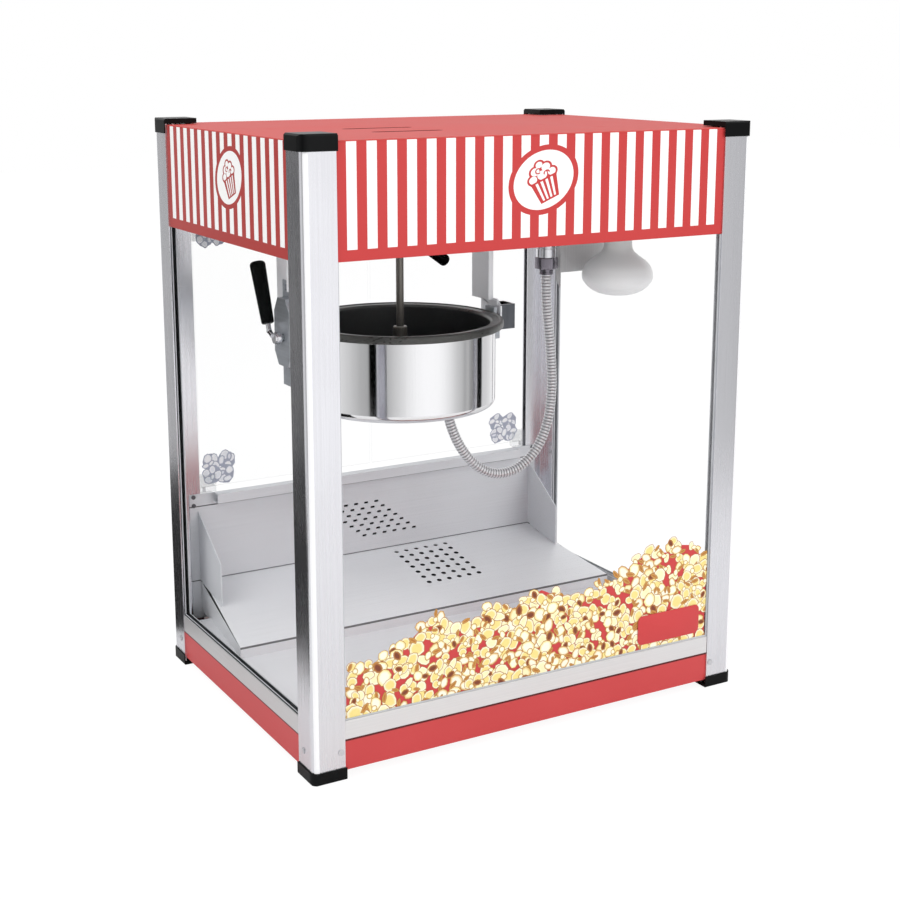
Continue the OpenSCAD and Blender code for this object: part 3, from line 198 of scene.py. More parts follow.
class Graph:
    """The node tree of a material or a world, filled one node at a time."""

    def __init__(self, name: str, world: bpy.types.World | None = None) -> None:
        """Empties the tree of the world, else of a new material, and gives it an output.

        Args:
            name: The new material's name.
            world: The world, where the tree is a world's.
        """
        self.owner = world or bpy.data.materials.new(name)
        self.owner.use_nodes = True
        self.tree = self.owner.node_tree
        self.tree.nodes.clear()
        self.output = self.tree.nodes.new(f"ShaderNodeOutput{'World' if world else 'Material'}")

    def node(self, kind: str, settings: dict[str, Any] | None = None,
             inputs: dict[int | str, Any] | None = None, output: int | str = 0) -> Sock:
        """Adds one node: its settings first, then its sockets.

        Args:
            kind: The node's type.
            settings: The node's own settings; "stops" fills a colour ramp.
            inputs: Values or links of the input sockets.
            output: The output to hand back.

        Returns:
            The chosen output.
        """
        made = self.tree.nodes.new(kind)
        for key, value in (settings or {}).items():
            if key == "stops":
                ramp = made.color_ramp
                while len(ramp.elements) > 1:
                    ramp.elements.remove(ramp.elements[-1])
                for i, (place, colour) in enumerate(value):
                    element = ramp.elements[0] if i == 0 else ramp.elements.new(place)
                    element.position, element.color = place, colour
            else:
                setattr(made, key, value)
        for key, value in (inputs or {}).items():
            socket = made.inputs[key]
            if isinstance(value, Sock):
                self.tree.links.new(value.socket, socket)
            else:
                socket.default_value = value
        return Sock(self, made.outputs[output])

    def place(self) -> Sock:
        """The point's place in the object's own space."""
        return self.node("ShaderNodeTexCoord", output="Object")

    def axes(self) -> tuple[Sock, Sock, Sock]:
        """The point's x, y and z.

        Returns:
            The three values.
        """
        split = self.node("ShaderNodeSeparateXYZ", {}, {0: self.place()})
        outs = split.socket.node.outputs
        return Sock(self, outs[0]), Sock(self, outs[1]), Sock(self, outs[2])

    def scaled(self, x: float, y: float, z: float) -> Sock:
        """The point's place, stretched by three factors."""
        return self.node("ShaderNodeVectorMath", {"operation": "MULTIPLY"},
                         {0: self.place(), 1: (x, y, z)})

    def noise(self, scale: float, detail: float = 3.0, vector: Sock | None = None) -> Sock:
        """A noise value.

        Args:
            scale: Its scale, per metre.
            detail: Levels of detail.
            vector: The space that it fills, else the object's.

        Returns:
            The value, about 0.5.
        """
        return self.node("ShaderNodeTexNoise", {}, {
            "Vector": vector or self.place(), "Scale": scale, "Detail": detail})

    def edge(self, value: Sock, low: float, high: float) -> Sock:
        """A smooth step from 0 at low to 1 at high."""
        return self.node("ShaderNodeMapRange", {"interpolation_type": "SMOOTHSTEP"},
                         {"Value": value, "From Min": low, "From Max": high})

    def blend(self, factor: Sock | float, first: Sock | Shade, second: Sock | Shade) -> Sock:
        """A colour between two colours."""
        return self.node("ShaderNodeMix", {"data_type": "RGBA"}, {0: factor, 6: first, 7: second}, 2)

    def bump(self, height: Sock, strength: float, distance: float = 0.001) -> Sock:
        """A normal from a height."""
        return self.node("ShaderNodeBump", {}, {
            "Height": height, "Strength": strength, "Distance": distance})

    def end(self, shader: Sock) -> bpy.types.Material | bpy.types.World:
        """Ends the tree in a shader and hands back the material or world."""
        self.tree.links.new(shader.socket, self.output.inputs["Surface"])
        return self.owner

    def surface(self, inputs: dict[str, Any]) -> bpy.types.Material:
        """Ends the tree in a Principled shader with these sockets."""
        return self.end(self.node("ShaderNodeBsdfPrincipled", {}, inputs))

    def light(self, colour: Sock | Shade, strength: float) -> Sock:
        """A plain light of a colour."""
        return self.node("ShaderNodeEmission", {}, {"Color": colour, "Strength": strength})


# Finishes


@dataclass(frozen=True)
class Paint:
    """Sprayed paint on sheet steel, with a little orange peel and a few rubbed streaks."""

    name: str
    colour: tuple[int, int, int]
    roughness: float = 0.36
    peel: float = 0.06
    coat: float = 0.05
    gap: Flat | None = None
    shine: float = 0.3

    def make(self) -> bpy.types.Material:
        """Builds the material.

        Returns:
            The finished material.
        """
        g = Graph(self.name)
        base = srgb(*self.colour)
        drift = g.edge(g.noise(7.0, 2.0), 0.3, 0.7)
        rub = g.edge(g.noise(1.0, 4.0, g.scaled(30, 30, 420)), 0.62, 0.8)
        colour = g.blend(drift * 0.35 + rub * 0.15, base, toned(base, 1.1, 0.01))
        # Painted shadow: a dark line over a band of heights where another part meets the paint.
        if self.gap:
            colour = g.blend(g.edge(g.axes()[2], *self.gap), colour, toned(base, 0.16))
        return g.surface({
            "Base Color": colour, "Roughness": rub * 0.08 + (drift * 0.04 + self.roughness),
            "Coat Weight": self.coat, "Coat Roughness": 0.12, "Specular IOR Level": self.shine,
            "Normal": g.bump(g.noise(1100.0, 2.0), self.peel, 0.0004)})


@dataclass(frozen=True)
class Metal:
    """Bare, brushed or plated metal, with its grain along one axis."""

    name: str
    colour: tuple[int, int, int]
    grain: Axis = Axis.Z
    roughness: float = 0.34
    metallic: float = 0.55
    streak: float = 0.05
    relief: float = 0.05
    fine: float = 900.0
    shade_lines: tuple[tuple[float, float, float, float], ...] = ()

    def make(self) -> bpy.types.Material:
        """Builds the material; each shade line is painted shade, a dark line between two y and two z.

        Returns:
            The finished material.
        """
        g = Graph(self.name)
        base = srgb(*self.colour)
        along = [self.fine] * 3
        along[self.grain.value] = 6.0
        lines = g.noise(1.0, 3.0, g.scaled(*along))
        cloud = g.edge(g.noise(11.0, 3.0), 0.3, 0.75)
        worn = g.edge(lines, 0.35, 0.7) * 0.6 + cloud * 0.3
        colour = g.blend(worn, base, toned(base, 1 - 2.2 * self.streak))
        _, y, z = g.axes()
        # Painted shade: dark lines where the deck folds and under the apron's band and at its foot.
        for y0, y1, z0, z1 in self.shade_lines:
            line = (y > y0) * (y < y1) * (z > z0) * (z < z1)
            colour = g.blend(line, colour, toned(base, 0.2))
        return g.surface({
            "Base Color": colour, "Metallic": self.metallic,
            "Roughness": (lines - 0.5) * 0.14 + (cloud * 0.05 + self.roughness),
            "Normal": g.bump(lines, self.relief, 0.0003)})


@dataclass(frozen=True)
class Moulded:
    """Moulded plastic, rubber or ceramic with a fine skin."""

    name: str
    colour: tuple[int, int, int]
    roughness: float = 0.4
    skin: float = 0.12
    scale: float = 1500.0
    coat: float = 0.0
    shine: float = 0.5

    def make(self) -> bpy.types.Material:
        """Builds the material.

        Returns:
            The finished material.
        """
        g = Graph(self.name)
        base = srgb(*self.colour)
        cloud = g.edge(g.noise(23.0, 3.0), 0.35, 0.75)
        skin = g.noise(self.scale, 2.0)
        return g.surface({
            "Base Color": g.blend(cloud * 0.5, base, toned(base, 1.25, 0.003)),
            "Roughness": skin * 0.12 + (cloud * 0.06 + self.roughness - 0.06),
            "Coat Weight": self.coat, "Coat Roughness": 0.06, "Specular IOR Level": self.shine,
            "Normal": g.bump(skin, self.skin, 0.0003)})


@dataclass(frozen=True)
class Glazing:
    """Clear sheet: nearly see-through, with faint smears."""

    name: str
    tint: tuple[int, int, int] = (130, 140, 138)
    alpha: float = 0.0015
    roughness: float = 0.03
    sheen: float = 0.08

    def make(self) -> bpy.types.Material:
        """Builds the material.

        Returns:
            The finished material.
        """
        g = Graph(self.name)
        smear = g.edge(g.noise(5.0, 4.0, g.scaled(1, 1, 0.35)), 0.45, 0.8)
        slant = g.node("ShaderNodeLayerWeight", {}, {"Blend": 0.5}, "Facing")
        square = slant * slant
        grazing = square * square * slant
        return g.surface({
            "Base Color": srgb(*self.tint),
            "Alpha": grazing * self.sheen + (smear * 0.003 + self.alpha),
            "Roughness": smear * 0.09 + self.roughness, "IOR": 1.5, "Specular IOR Level": 0.7})


@dataclass(frozen=True)
class Striped:
    """The canopy's print: red and white stripes, a red lower border and an oval with a tub."""

    name: str
    along: Axis
    half: float
    pairs: int
    centre: float
    oval: Flat
    hand: float = 1.0
    tilt: float = 22.0
    foot: float = 0.549
    border: float = 0.0115
    middle: float = 0.620
    red: tuple[int, int, int] = (196, 57, 57)
    white: tuple[int, int, int] = (250, 250, 249)
    puffs: tuple[Point, ...] = ((-0.33, 0.17, 0.17), (0.33, 0.17, 0.17), (0.0, 0.2, 0.2),
                                (-0.19, 0.42, 0.18), (0.19, 0.42, 0.18), (0.0, 0.6, 0.15))

    @staticmethod
    def out(u: Sock, v: Sock, a: float, b: float) -> Sock:
        """The distance from the middle of an oval, 1 on its edge."""
        across, up = u / a, v / b
        return (across * across + up * up).root()

    @staticmethod
    def ring(u: Sock, v: Sock, cu: float, cv: float, radius: float) -> Sock:
        """The distance outside a circle round cu and cv."""
        du, dv = u - cu, v - cv
        return (du * du + dv * dv).root() - radius

    def tub(self, u: Sock, v: Sock) -> Sock:
        """The oval's own drawing, in units of the oval.

        Args:
            u: The place across the oval.
            v: The place up the oval.

        Returns:
            1 where the drawing is red, else 0.
        """
        spread = u / (v * 0.16 + 0.44)
        body = (v < 0.02) * (v > -0.78)
        bars = (abs(spread) < 1.0) * body * (abs((spread * 2.5 + 0.5).wrap() - 0.5) < 0.25)
        rim = (abs(v - 0.02) < 0.035) * (abs(spread) < 1.06)
        foot = (abs(v + 0.76) < 0.035) * (abs(spread) < 1.0)
        sides = (abs(abs(spread) - 0.96) < 0.06) * body
        puffs = [self.ring(u, v, *puff) for puff in self.puffs]
        heap = (abs(reduce(Sock.least, puffs)) < 0.035) * (v > 0.02)
        curls = ((abs(self.ring(u, v, -0.08, 0.4, 0.09)) < 0.022) * (u < -0.04)).most(
            (abs(self.ring(u, v, 0.16, 0.2, 0.09)) < 0.022) * (v > 0.18))
        return reduce(Sock.most, (bars, rim, foot, sides, heap, curls))

    def make(self) -> bpy.types.Material:
        """Builds the material.

        Returns:
            The finished material.
        """
        g = Graph(self.name)
        axes = g.axes()
        u, z = axes[self.along.value], axes[2]
        pitch = 2 * self.half / (2 * self.pairs + 1)
        bars = ((u + self.half) / (2 * pitch)).wrap() > 0.5
        striped = bars * (abs(u) < self.half) * (z > self.foot + self.border)
        a, b = self.oval
        turn = math.radians(self.tilt)
        across, up = (u - self.centre) * self.hand, z - self.middle
        du = across * math.cos(turn) + up * math.sin(turn)
        dv = up * math.cos(turn) - across * math.sin(turn)
        inner = (a * 0.855, b * 0.845)
        disc = self.out(du, dv, *inner) < 1.0
        drawn = self.tub(du / inner[0] * 1.02, dv / inner[1] * 1.06)
        white = (striped * (self.out(du, dv, a, b) > 1.0)).most(disc * (1 - drawn))
        ink = g.edge(g.noise(9.0, 3.0), 0.3, 0.7)
        red = g.blend(ink * 0.15, srgb(*self.red), srgb(208, 74, 70))
        pale = g.blend(ink * 0.4, srgb(*self.white), srgb(243, 243, 243))
        return g.surface({
            "Base Color": g.blend(white, red, pale), "Roughness": ink * 0.05 + (0.34 - white * 0.03),
            "Coat Weight": 0.05, "Coat Roughness": 0.12, "Specular IOR Level": 0.3,
            "Normal": g.bump(g.noise(1100.0, 2.0), 0.05, 0.0004)})


@dataclass(frozen=True)
class Printed:
    """A finish whose colour the mesh itself carries."""

    name: str
    roughness: float = 0.42
    metallic: float = 0.0
    grain: float = 0.1
    layer: str = "ink"

    def make(self) -> bpy.types.Material:
        """Builds the material.

        Returns:
            The finished material.
        """
        g = Graph(self.name)
        colour = g.node("ShaderNodeAttribute", {"attribute_name": self.layer}, output="Color")
        dots = g.noise(420.0, 3.0)
        shade = g.node("ShaderNodeMix", {"data_type": "RGBA", "blend_type": "MULTIPLY"},
                       {0: g.edge(dots, 0.45, 0.85) * self.grain, 6: colour, 7: srgb(236, 214, 170)}, 2)
        return g.surface({"Base Color": shade, "Roughness": dots * 0.1 + self.roughness,
                          "Metallic": self.metallic, "Normal": g.bump(dots, 0.04, 0.0002)})


class Look(Enum):
    """The finishes of the machine's parts."""

    POST = Metal("anodised_upright", (234, 234, 239), Axis.Z, 0.24, 0.98, 0.03)
    # Painted highlight: a near-white, barely metallic copy of the post finish for the posts' rounded
    # corners.
    EDGE = Metal("post_corner_painted_highlight", (250, 250, 252), Axis.Z, 0.3, 0.05, 0.02)
    RAIL_X = Metal("anodised_rail_across", (224, 223, 224), Axis.X, 0.34, 0.4, 0.03)
    # Painted shade: the side rails' finish is a darker copy of the front rail's.
    RAIL_Y = Metal("anodised_rail_along_painted_shade", (208, 207, 208), Axis.Y, 0.34, 0.4, 0.03)
    SHEET = Metal("brushed_stainless_sheet", (224, 226, 229), Axis.X, 0.4, 0.2, 0.03, 0.03)
    # Painted light: the deck is a lighter copy of the brushed sheet.
    DECK = Metal("brushed_deck_sheet_painted_light", (238, 239, 242), Axis.X, 0.4, 0.2, 0.03, 0.03,
                 shade_lines=((0.0, 0.0275, 0.0670, 0.0692),))
    # The apron's two dark lines are painted shade, at its foot and under its top band.
    APRON = Metal("brushed_apron_sheet", (222, 224, 228), Axis.X, 0.4, 0.2, 0.03, 0.03,
                  shade_lines=((0.19, 0.199, 0.0968, 0.0982), (0.19, 0.199, 0.1935, 0.1950)))
    ZINC = Metal("zinc_plate", (186, 191, 197), Axis.Y, 0.32, 0.7, 0.10, 0.08, 260.0)
    STEEL = Metal("bright_steel", (222, 222, 226), Axis.Z, 0.1, 1.0, 0.05, 0.02)
    NUT = Metal("plated_nut", (132, 127, 136), Axis.Z, 0.16, 1.0, 0.1, 0.03)
    POLISHED = Metal("polished_stainless", (240, 240, 242), Axis.Z, 0.06, 1.0, 0.01, 0.004)
    SHAFT = Metal("turned_steel_shaft", (128, 124, 118), Axis.Z, 0.3, 0.8, 0.12, 0.06)
    PAN = Metal("dark_anodised_pan", (82, 82, 80), Axis.X, 0.28, 0.6, 0.12, 0.05, 300.0)
    # Painted shade: a darker copy of the pan finish for the pan's inside.
    PAN_WELL = Metal("pan_well_painted_shade", (50, 50, 51), Axis.X, 0.42, 0.45, 0.14, 0.06, 300.0)
    CAST = Metal("cast_heater", (120, 118, 115), Axis.X, 0.55, 0.6, 0.14, 0.2, 220.0)
    MOTOR = Metal("motor_case", (150, 152, 154), Axis.Y, 0.45, 0.6, 0.10, 0.1, 300.0)
    SHIELD = Metal("shield_sheet", (212, 212, 213), Axis.Z, 0.42, 0.3, 0.08, 0.05)
    STRAP = Metal("brushed_strap", (250, 251, 254), Axis.Z, 0.4, 0.1, 0.04, 0.05)
    RED = Paint("red_enamel", (202, 64, 66))
    # Painted shadow: a dark line along the base's top edge, under the rail.
    RED_BASE = Paint("red_enamel_base", (200, 68, 70), gap=(0.0414, 0.0422))
    # Painted light: the top cover's red is a lighter, paler copy of the panels' enamel.
    COVER = Paint("red_enamel_cover_painted_light", (206, 82, 78), 0.5, 0.06, 0.0, shine=0.08)
    BLACK = Moulded("black_moulding", (9, 10, 11), 0.34, 0.12, shine=0.12)
    GRIP = Moulded("glossy_grip", (2, 2, 3), 0.24, 0.03, 900.0, 0.0, 0.02)
    FITTING = Moulded("door_fitting", (40, 41, 43), 0.38, 0.1)
    MAGNET = Moulded("magnet_block", (28, 29, 30), 0.5, 0.15)
    RUBBER = Moulded("glass_seal", (58, 61, 64), 0.6, 0.2)
    DARK_SCREW = Metal("dark_screw", (104, 106, 110), Axis.Z, 0.35, 0.6, 0.1, 0.05, 300.0)
    SCREW = Metal("zinc_screw", (216, 217, 221), Axis.Z, 0.3, 0.7, 0.1, 0.05, 300.0)
    CLAMP = Glazing("clear_clamp", (196, 200, 208), 0.16, 0.08, 0.3)
    # Black: the gauze behind the apron's vents, and painted shade under the deck and inside the clasp.
    GAUZE = Moulded("black_gauze_and_painted_shade", (16, 16, 17), 0.6, 0.2)
    SLOT = Moulded("slot_shadow", (112, 44, 44), 0.6, 0.1)
    # Painted highlight: a pale copy of the glass seal for its lit faces.
    SEAL_PALE = Moulded("glass_seal_painted_highlight", (186, 188, 192), 0.5, 0.1)
    # Painted shade: a darker copy of steel for the walls of the clasp box.
    CLASP = Metal("clasp_painted_shade", (98, 101, 107), Axis.Z, 0.35, 0.6, 0.1, 0.06, 300.0)
    FROST = Printed("frosted_lamp", 0.4, 0.0, 0.0)
    CERAMIC = Moulded("glazed_ceramic", (232, 231, 226), 0.25, 0.05, 900.0, 0.2)
    GLASS = Glazing("clear_glass")
    ACRYLIC = Glazing("door_acrylic", (150, 156, 162), 0.022, 0.05, 0.6)
    STRIPES_FRONT = Striped("front_stripes", Axis.X, 0.2415, 21, 0.0, (0.0450, 0.0353))
    # Painted shade: the left panel's red is darker than the front and right panels'.
    STRIPES_LEFT = Striped("left_stripes_painted_shade", Axis.Y, 0.1715, 15, -0.018, (0.0418, 0.0325), -1.0,
                           red=(172, 54, 50))
    STRIPES_RIGHT = Striped("right_stripes", Axis.Y, 0.1715, 15, -0.018, (0.0418, 0.0325))
    HEAP = Printed("heap_print", 0.42, 0.0, 0.22)
    ORNAMENT = Printed("ornament_print", 0.5, 0.0, 0.0)
    CONDUIT = Printed("conduit_strip", 0.24, 0.7, 0.0)

    def material(self) -> bpy.types.Material:
        """The finish's material, made the first time that it is asked for."""
        found = bpy.data.materials.get(self.value.name)
        return found or self.value.make()


# Workbench


class Bench:
    """The modelling operators, used on one piece at a time."""

    @staticmethod
    def clear() -> None:
        """Leaves edit mode and deselects everything."""
        if bpy.context.mode != "OBJECT":
            bpy.ops.object.mode_set(mode="OBJECT")
        bpy.ops.object.select_all(action="DESELECT")

    @staticmethod
    def take(piece: Thing) -> Thing:
        """Selects one piece alone and makes it active.

        Args:
            piece: The piece.

        Returns:
            The same piece.
        """
        Bench.clear()
        piece.select_set(True)
        bpy.context.view_layer.objects.active = piece
        return piece

    @staticmethod
    def link(name: str, data: bpy.types.ID) -> Thing:
        """Puts some data in the scene as an object.

        Args:
            name: The object's name.
            data: Its mesh, curve, light or camera.

        Returns:
            The new object.
        """
        made = bpy.data.objects.new(name, data)
        bpy.context.scene.collection.objects.link(made)
        return made

    @staticmethod
    def made(name: str) -> Thing:
        """The piece that the last operator made, named with its mesh.

        Args:
            name: The new name.

        Returns:
            The piece.
        """
        piece = bpy.context.object
        piece.name = piece.data.name = name
        return piece

    @staticmethod
    def edit(piece: Thing) -> None:
        """Enters edit mode with every vertex selected.

        Args:
            piece: The piece.
        """
        Bench.take(piece)
        bpy.ops.object.mode_set(mode="EDIT")
        bpy.ops.mesh.select_mode(type="VERT")
        bpy.ops.mesh.select_all(action="SELECT")

    @staticmethod
    def pick(piece: Thing, chosen: Callable[[Face], bool]) -> None:
        """Enters edit mode with only the chosen faces selected.

        Args:
            piece: The piece.
            chosen: True for a face to select.
        """
        Bench.edit(piece)
        bpy.ops.mesh.select_mode(type="FACE")
        bpy.ops.mesh.select_all(action="DESELECT")
        bpy.ops.object.mode_set(mode="OBJECT")
        for face in piece.data.polygons:
            face.select = chosen(face)
        bpy.ops.object.mode_set(mode="EDIT")

    @staticmethod
    def modify(piece: Thing, kind: str, **settings: Any) -> None:
        """Applies a modifier with these settings.

        Args:
            piece: The piece.
            kind: The modifier's type.
            **settings: The modifier's settings.
        """
        Bench.take(piece)
        added = piece.modifiers.new("work", kind)
        for key, value in settings.items():
            setattr(added, key, value)
        bpy.ops.object.modifier_apply(modifier="work")

    @staticmethod
    def tidy(piece: Thing, gap: float = 1e-6) -> None:
        """Merges doubles and turns the faces outwards.

        Args:
            piece: The piece.
            gap: Vertices closer than this are merged.
        """
        Bench.edit(piece)
        bpy.ops.mesh.remove_doubles(threshold=gap)
        bpy.ops.mesh.select_all(action="SELECT")
        bpy.ops.mesh.normals_make_consistent(inside=False)
        Bench.clear()

    @staticmethod
    def smooth(piece: Thing, degrees: float = 32.0) -> None:
        """Shades the piece smooth across edges below an angle."""
        Bench.take(piece)
        bpy.ops.object.shade_smooth_by_angle(angle=math.radians(degrees))

    @staticmethod
    def bevel(piece: Thing, width: float, segments: int = 2, degrees: float = 40.0) -> None:
        """Rounds the sharp edges."""
        Bench.modify(piece, "BEVEL", width=width, segments=segments, limit_method="ANGLE",
                     angle_limit=math.radians(degrees), use_clamp_overlap=True)

    @staticmethod
    def set_down(piece: Thing, matrix: Matrix) -> Thing:
        """Moves the piece's mesh to its place and leaves its object at the origin.

        Args:
            piece: The piece.
            matrix: Where its mesh goes.

        Returns:
            The same piece.
        """
        piece.data.transform(matrix)
        piece.data.update()
        return piece

    @staticmethod
    def turn(name: str, profile: Sequence[Flat], steps: int = 72) -> Thing:
        """Turns a profile about the Z axis, as on a lathe.

        Args:
            name: The piece's name.
            profile: Distance from the axis and height, in order.
            steps: Facets round the axis.

        Returns:
            The closed, smooth piece, standing at the origin.
        """
        Bench.clear()
        bpy.ops.mesh.primitive_plane_add(size=0.001)
        piece = Bench.made(name)
        Bench.edit(piece)
        bpy.ops.mesh.merge(type="CENTER")
        bpy.ops.transform.translate(value=(profile[0][0], 0.0, profile[0][1]))
        for (r0, z0), (r1, z1) in pairwise(profile):
            bpy.ops.mesh.extrude_region_move(TRANSFORM_OT_translate={"value": (r1 - r0, 0.0, z1 - z0)})
        bpy.ops.mesh.select_all(action="SELECT")
        bpy.ops.mesh.spin(steps=steps, angle=math.tau, center=(0, 0, 0), axis=(0, 0, 1))
        Bench.tidy(piece, 2e-6)
        Bench.smooth(piece)
        return piece

    @staticmethod
    def block(name: str, low: Sequence[float], high: Sequence[float], edge: float,
              segments: int = 3) -> Thing:
        """A block between two corners with rounded edges.

        Args:
            name: The piece's name.
            low: Lowest corner.
            high: Highest corner.
            edge: Radius of the rounded edges.
            segments: Facets across a rounded edge.

        Returns:
            The block.
        """
        Bench.clear()
        middle = [(a + b) / 2 for a, b in zip(low, high)]
        bpy.ops.mesh.primitive_cube_add(size=1.0, location=middle)
        piece = Bench.made(name)
        piece.scale = [b - a for a, b in zip(low, high)]
        bpy.ops.object.transform_apply(location=True, rotation=True, scale=True)
        Bench.bevel(piece, edge, segments)
        Bench.smooth(piece)
        return piece

    @staticmethod
    def rod(name: str, points: Sequence[Point], radius: float, radii: Sequence[float] | None = None,
            fine: int = 4) -> Thing:
        """A round rod along a line of points, made from a curve.

        Args:
            name: The piece's name.
            points: The centre line.
            radius: The rod's radius.
            radii: Factors on the radius at each point.
            fine: The curve's bevel resolution.

        Returns:
            The rod as a mesh.
        """
        Bench.clear()
        line = bpy.data.curves.new(name, "CURVE")
        line.dimensions, line.bevel_depth, line.bevel_resolution = "3D", radius, fine
        line.use_fill_caps = True
        spline = line.splines.new("POLY")
        spline.points.add(len(points) - 1)
        for i, point in enumerate(points):
            spline.points[i].co = (*point, 1.0)
            spline.points[i].radius = 1.0 if radii is None else radii[i]
        Bench.take(Bench.link(name, line))
        bpy.ops.object.convert(target="MESH")
        piece = Bench.made(name)
        Bench.tidy(piece)
        Bench.smooth(piece, 50.0)
        return piece

    @staticmethod
    def join(name: str, pieces: Sequence[Thing]) -> Thing:
        """Joins pieces into one and names it.

        Args:
            name: The whole's name.
            pieces: The pieces, the first one kept.

        Returns:
            The whole.
        """
        Bench.clear()
        for piece in pieces:
            piece.select_set(True)
        bpy.context.view_layer.objects.active = pieces[0]
        if len(pieces) > 1:
            bpy.ops.object.join()
        return Bench.made(name)

    @staticmethod
    def trim(piece: Thing, place: Point, normal: Point) -> None:
        """Cuts away what lies beyond a plane.

        Args:
            piece: The piece.
            place: A point on the plane.
            normal: Points to the side that goes.
        """
        Bench.edit(piece)
        bpy.ops.mesh.bisect(plane_co=place, plane_no=normal, clear_outer=True)
        Bench.clear()


def smooth_line(points: Sequence[Point], step: float) -> list[Vector]:
    """A smooth line through points, with even steps.

    Args:
        points: The points that it passes.
        step: Distance between the new points.

    Returns:
        The new points, both ends included.
    """
    given = [Vector(p) for p in points]
    dense: list[Vector] = []
    for i in range(len(given) - 1):
        p0, p1 = given[max(i - 1, 0)], given[i]
        p2, p3 = given[i + 1], given[min(i + 2, len(given) - 1)]
        for k in range(24):
            t = k / 24
            dense.append(0.5 * (2 * p1 + (p2 - p0) * t + (2 * p0 - 5 * p1 + 4 * p2 - p3) * t ** 2
                                + (3 * p1 - p0 - 3 * p2 + p3) * t ** 3))
    dense.append(given[-1])
    lengths = [0.0]
    for a, b in pairwise(dense):
        lengths.append(lengths[-1] + (b - a).length)
    count = max(2, round(lengths[-1] / step))
    line, j = [], 0
    for i in range(count + 1):
        target = lengths[-1] * i / count
        while j < len(dense) - 2 and lengths[j + 1] < target:
            j += 1
        share = (target - lengths[j]) / max(lengths[j + 1] - lengths[j], 1e-9)
        line.append(dense[j].lerp(dense[j + 1], min(max(share, 0.0), 1.0)))
    return line


class Assembly:
    """Parts that are built, dressed and mounted together."""

    bodies: dict[str, str] = {
        node: body for body, nodes in frame["record"]["behaviour"]["bodies"].items() for node in nodes}
    slots: dict[str, str] = {
        part["node"]: part["material_slot"] for part in frame["record"]["subparts"]}

    def mount(self, piece: Thing, look: Look | None, node: str = "", slot: str = "",
              body: str = "") -> Thing:
        """Dresses a piece, sets it riding and lets it stand for its CAD node.

        Args:
            piece: The finished piece.
            look: Its finish, or None where it's dressed already.
            node: The CAD node that it stands for, if any.
            slot: Not used.
            body: The body that it rides on, else its node's.

        Returns:
            The piece.
        """
        if look:
            piece.data.materials.clear()
            piece.data.materials.append(look.material())
        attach(piece, body or self.bodies[node])
        if node:
            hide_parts(node)
        log.info("made %s", piece.name)
        return piece

    def soften(self, node: str, look: Look, edge: float = 0.0004, segments: int = 2,
               degrees: float = 32.0) -> Thing:
        """A copy of a CAD node with its doubles merged and its sharp edges rounded.

        Args:
            node: The CAD node.
            look: Its finish.
            edge: Radius of the edges.
            segments: Facets across an edge.
            degrees: Below this angle, faces are shaded as one.

        Returns:
            The mounted copy.
        """
        Bench.clear()
        piece = Bench.link(f"{node}_piece", frame["nodes"][node].data.copy())
        Bench.edit(piece)
        bpy.ops.mesh.remove_doubles(threshold=1e-6)
        bpy.ops.mesh.select_all(action="SELECT")
        bpy.ops.mesh.dissolve_limited(angle_limit=math.radians(0.6))
        Bench.bevel(piece, edge, segments)
        Bench.smooth(piece, degrees)
        Bench.modify(piece, "WEIGHTED_NORMAL", keep_sharp=True)
        return self.mount(piece, look, node)

    @staticmethod
    def touch_up(piece: Thing, look: Look, pick: Callable[[Face], bool]) -> None:
        """Gives the faces that pick chooses a second finish.

        Args:
            piece: The piece.
            look: The second finish.
            pick: True for a face that gets it.
        """
        piece.data.materials.append(look.material())
        for face in piece.data.polygons:
            if pick(face):
                face.material_index = len(piece.data.materials) - 1

    def coat(self, node: str, look: Look) -> None:
        """Gives a CAD node that stays as it is a finish.

        Args:
            node: The CAD node.
            look: Its finish.
        """
        data = frame["nodes"][node].data
        data.materials.clear()
        data.materials.append(look.material())
        log.info("dressed %s", node)


# Cabinet


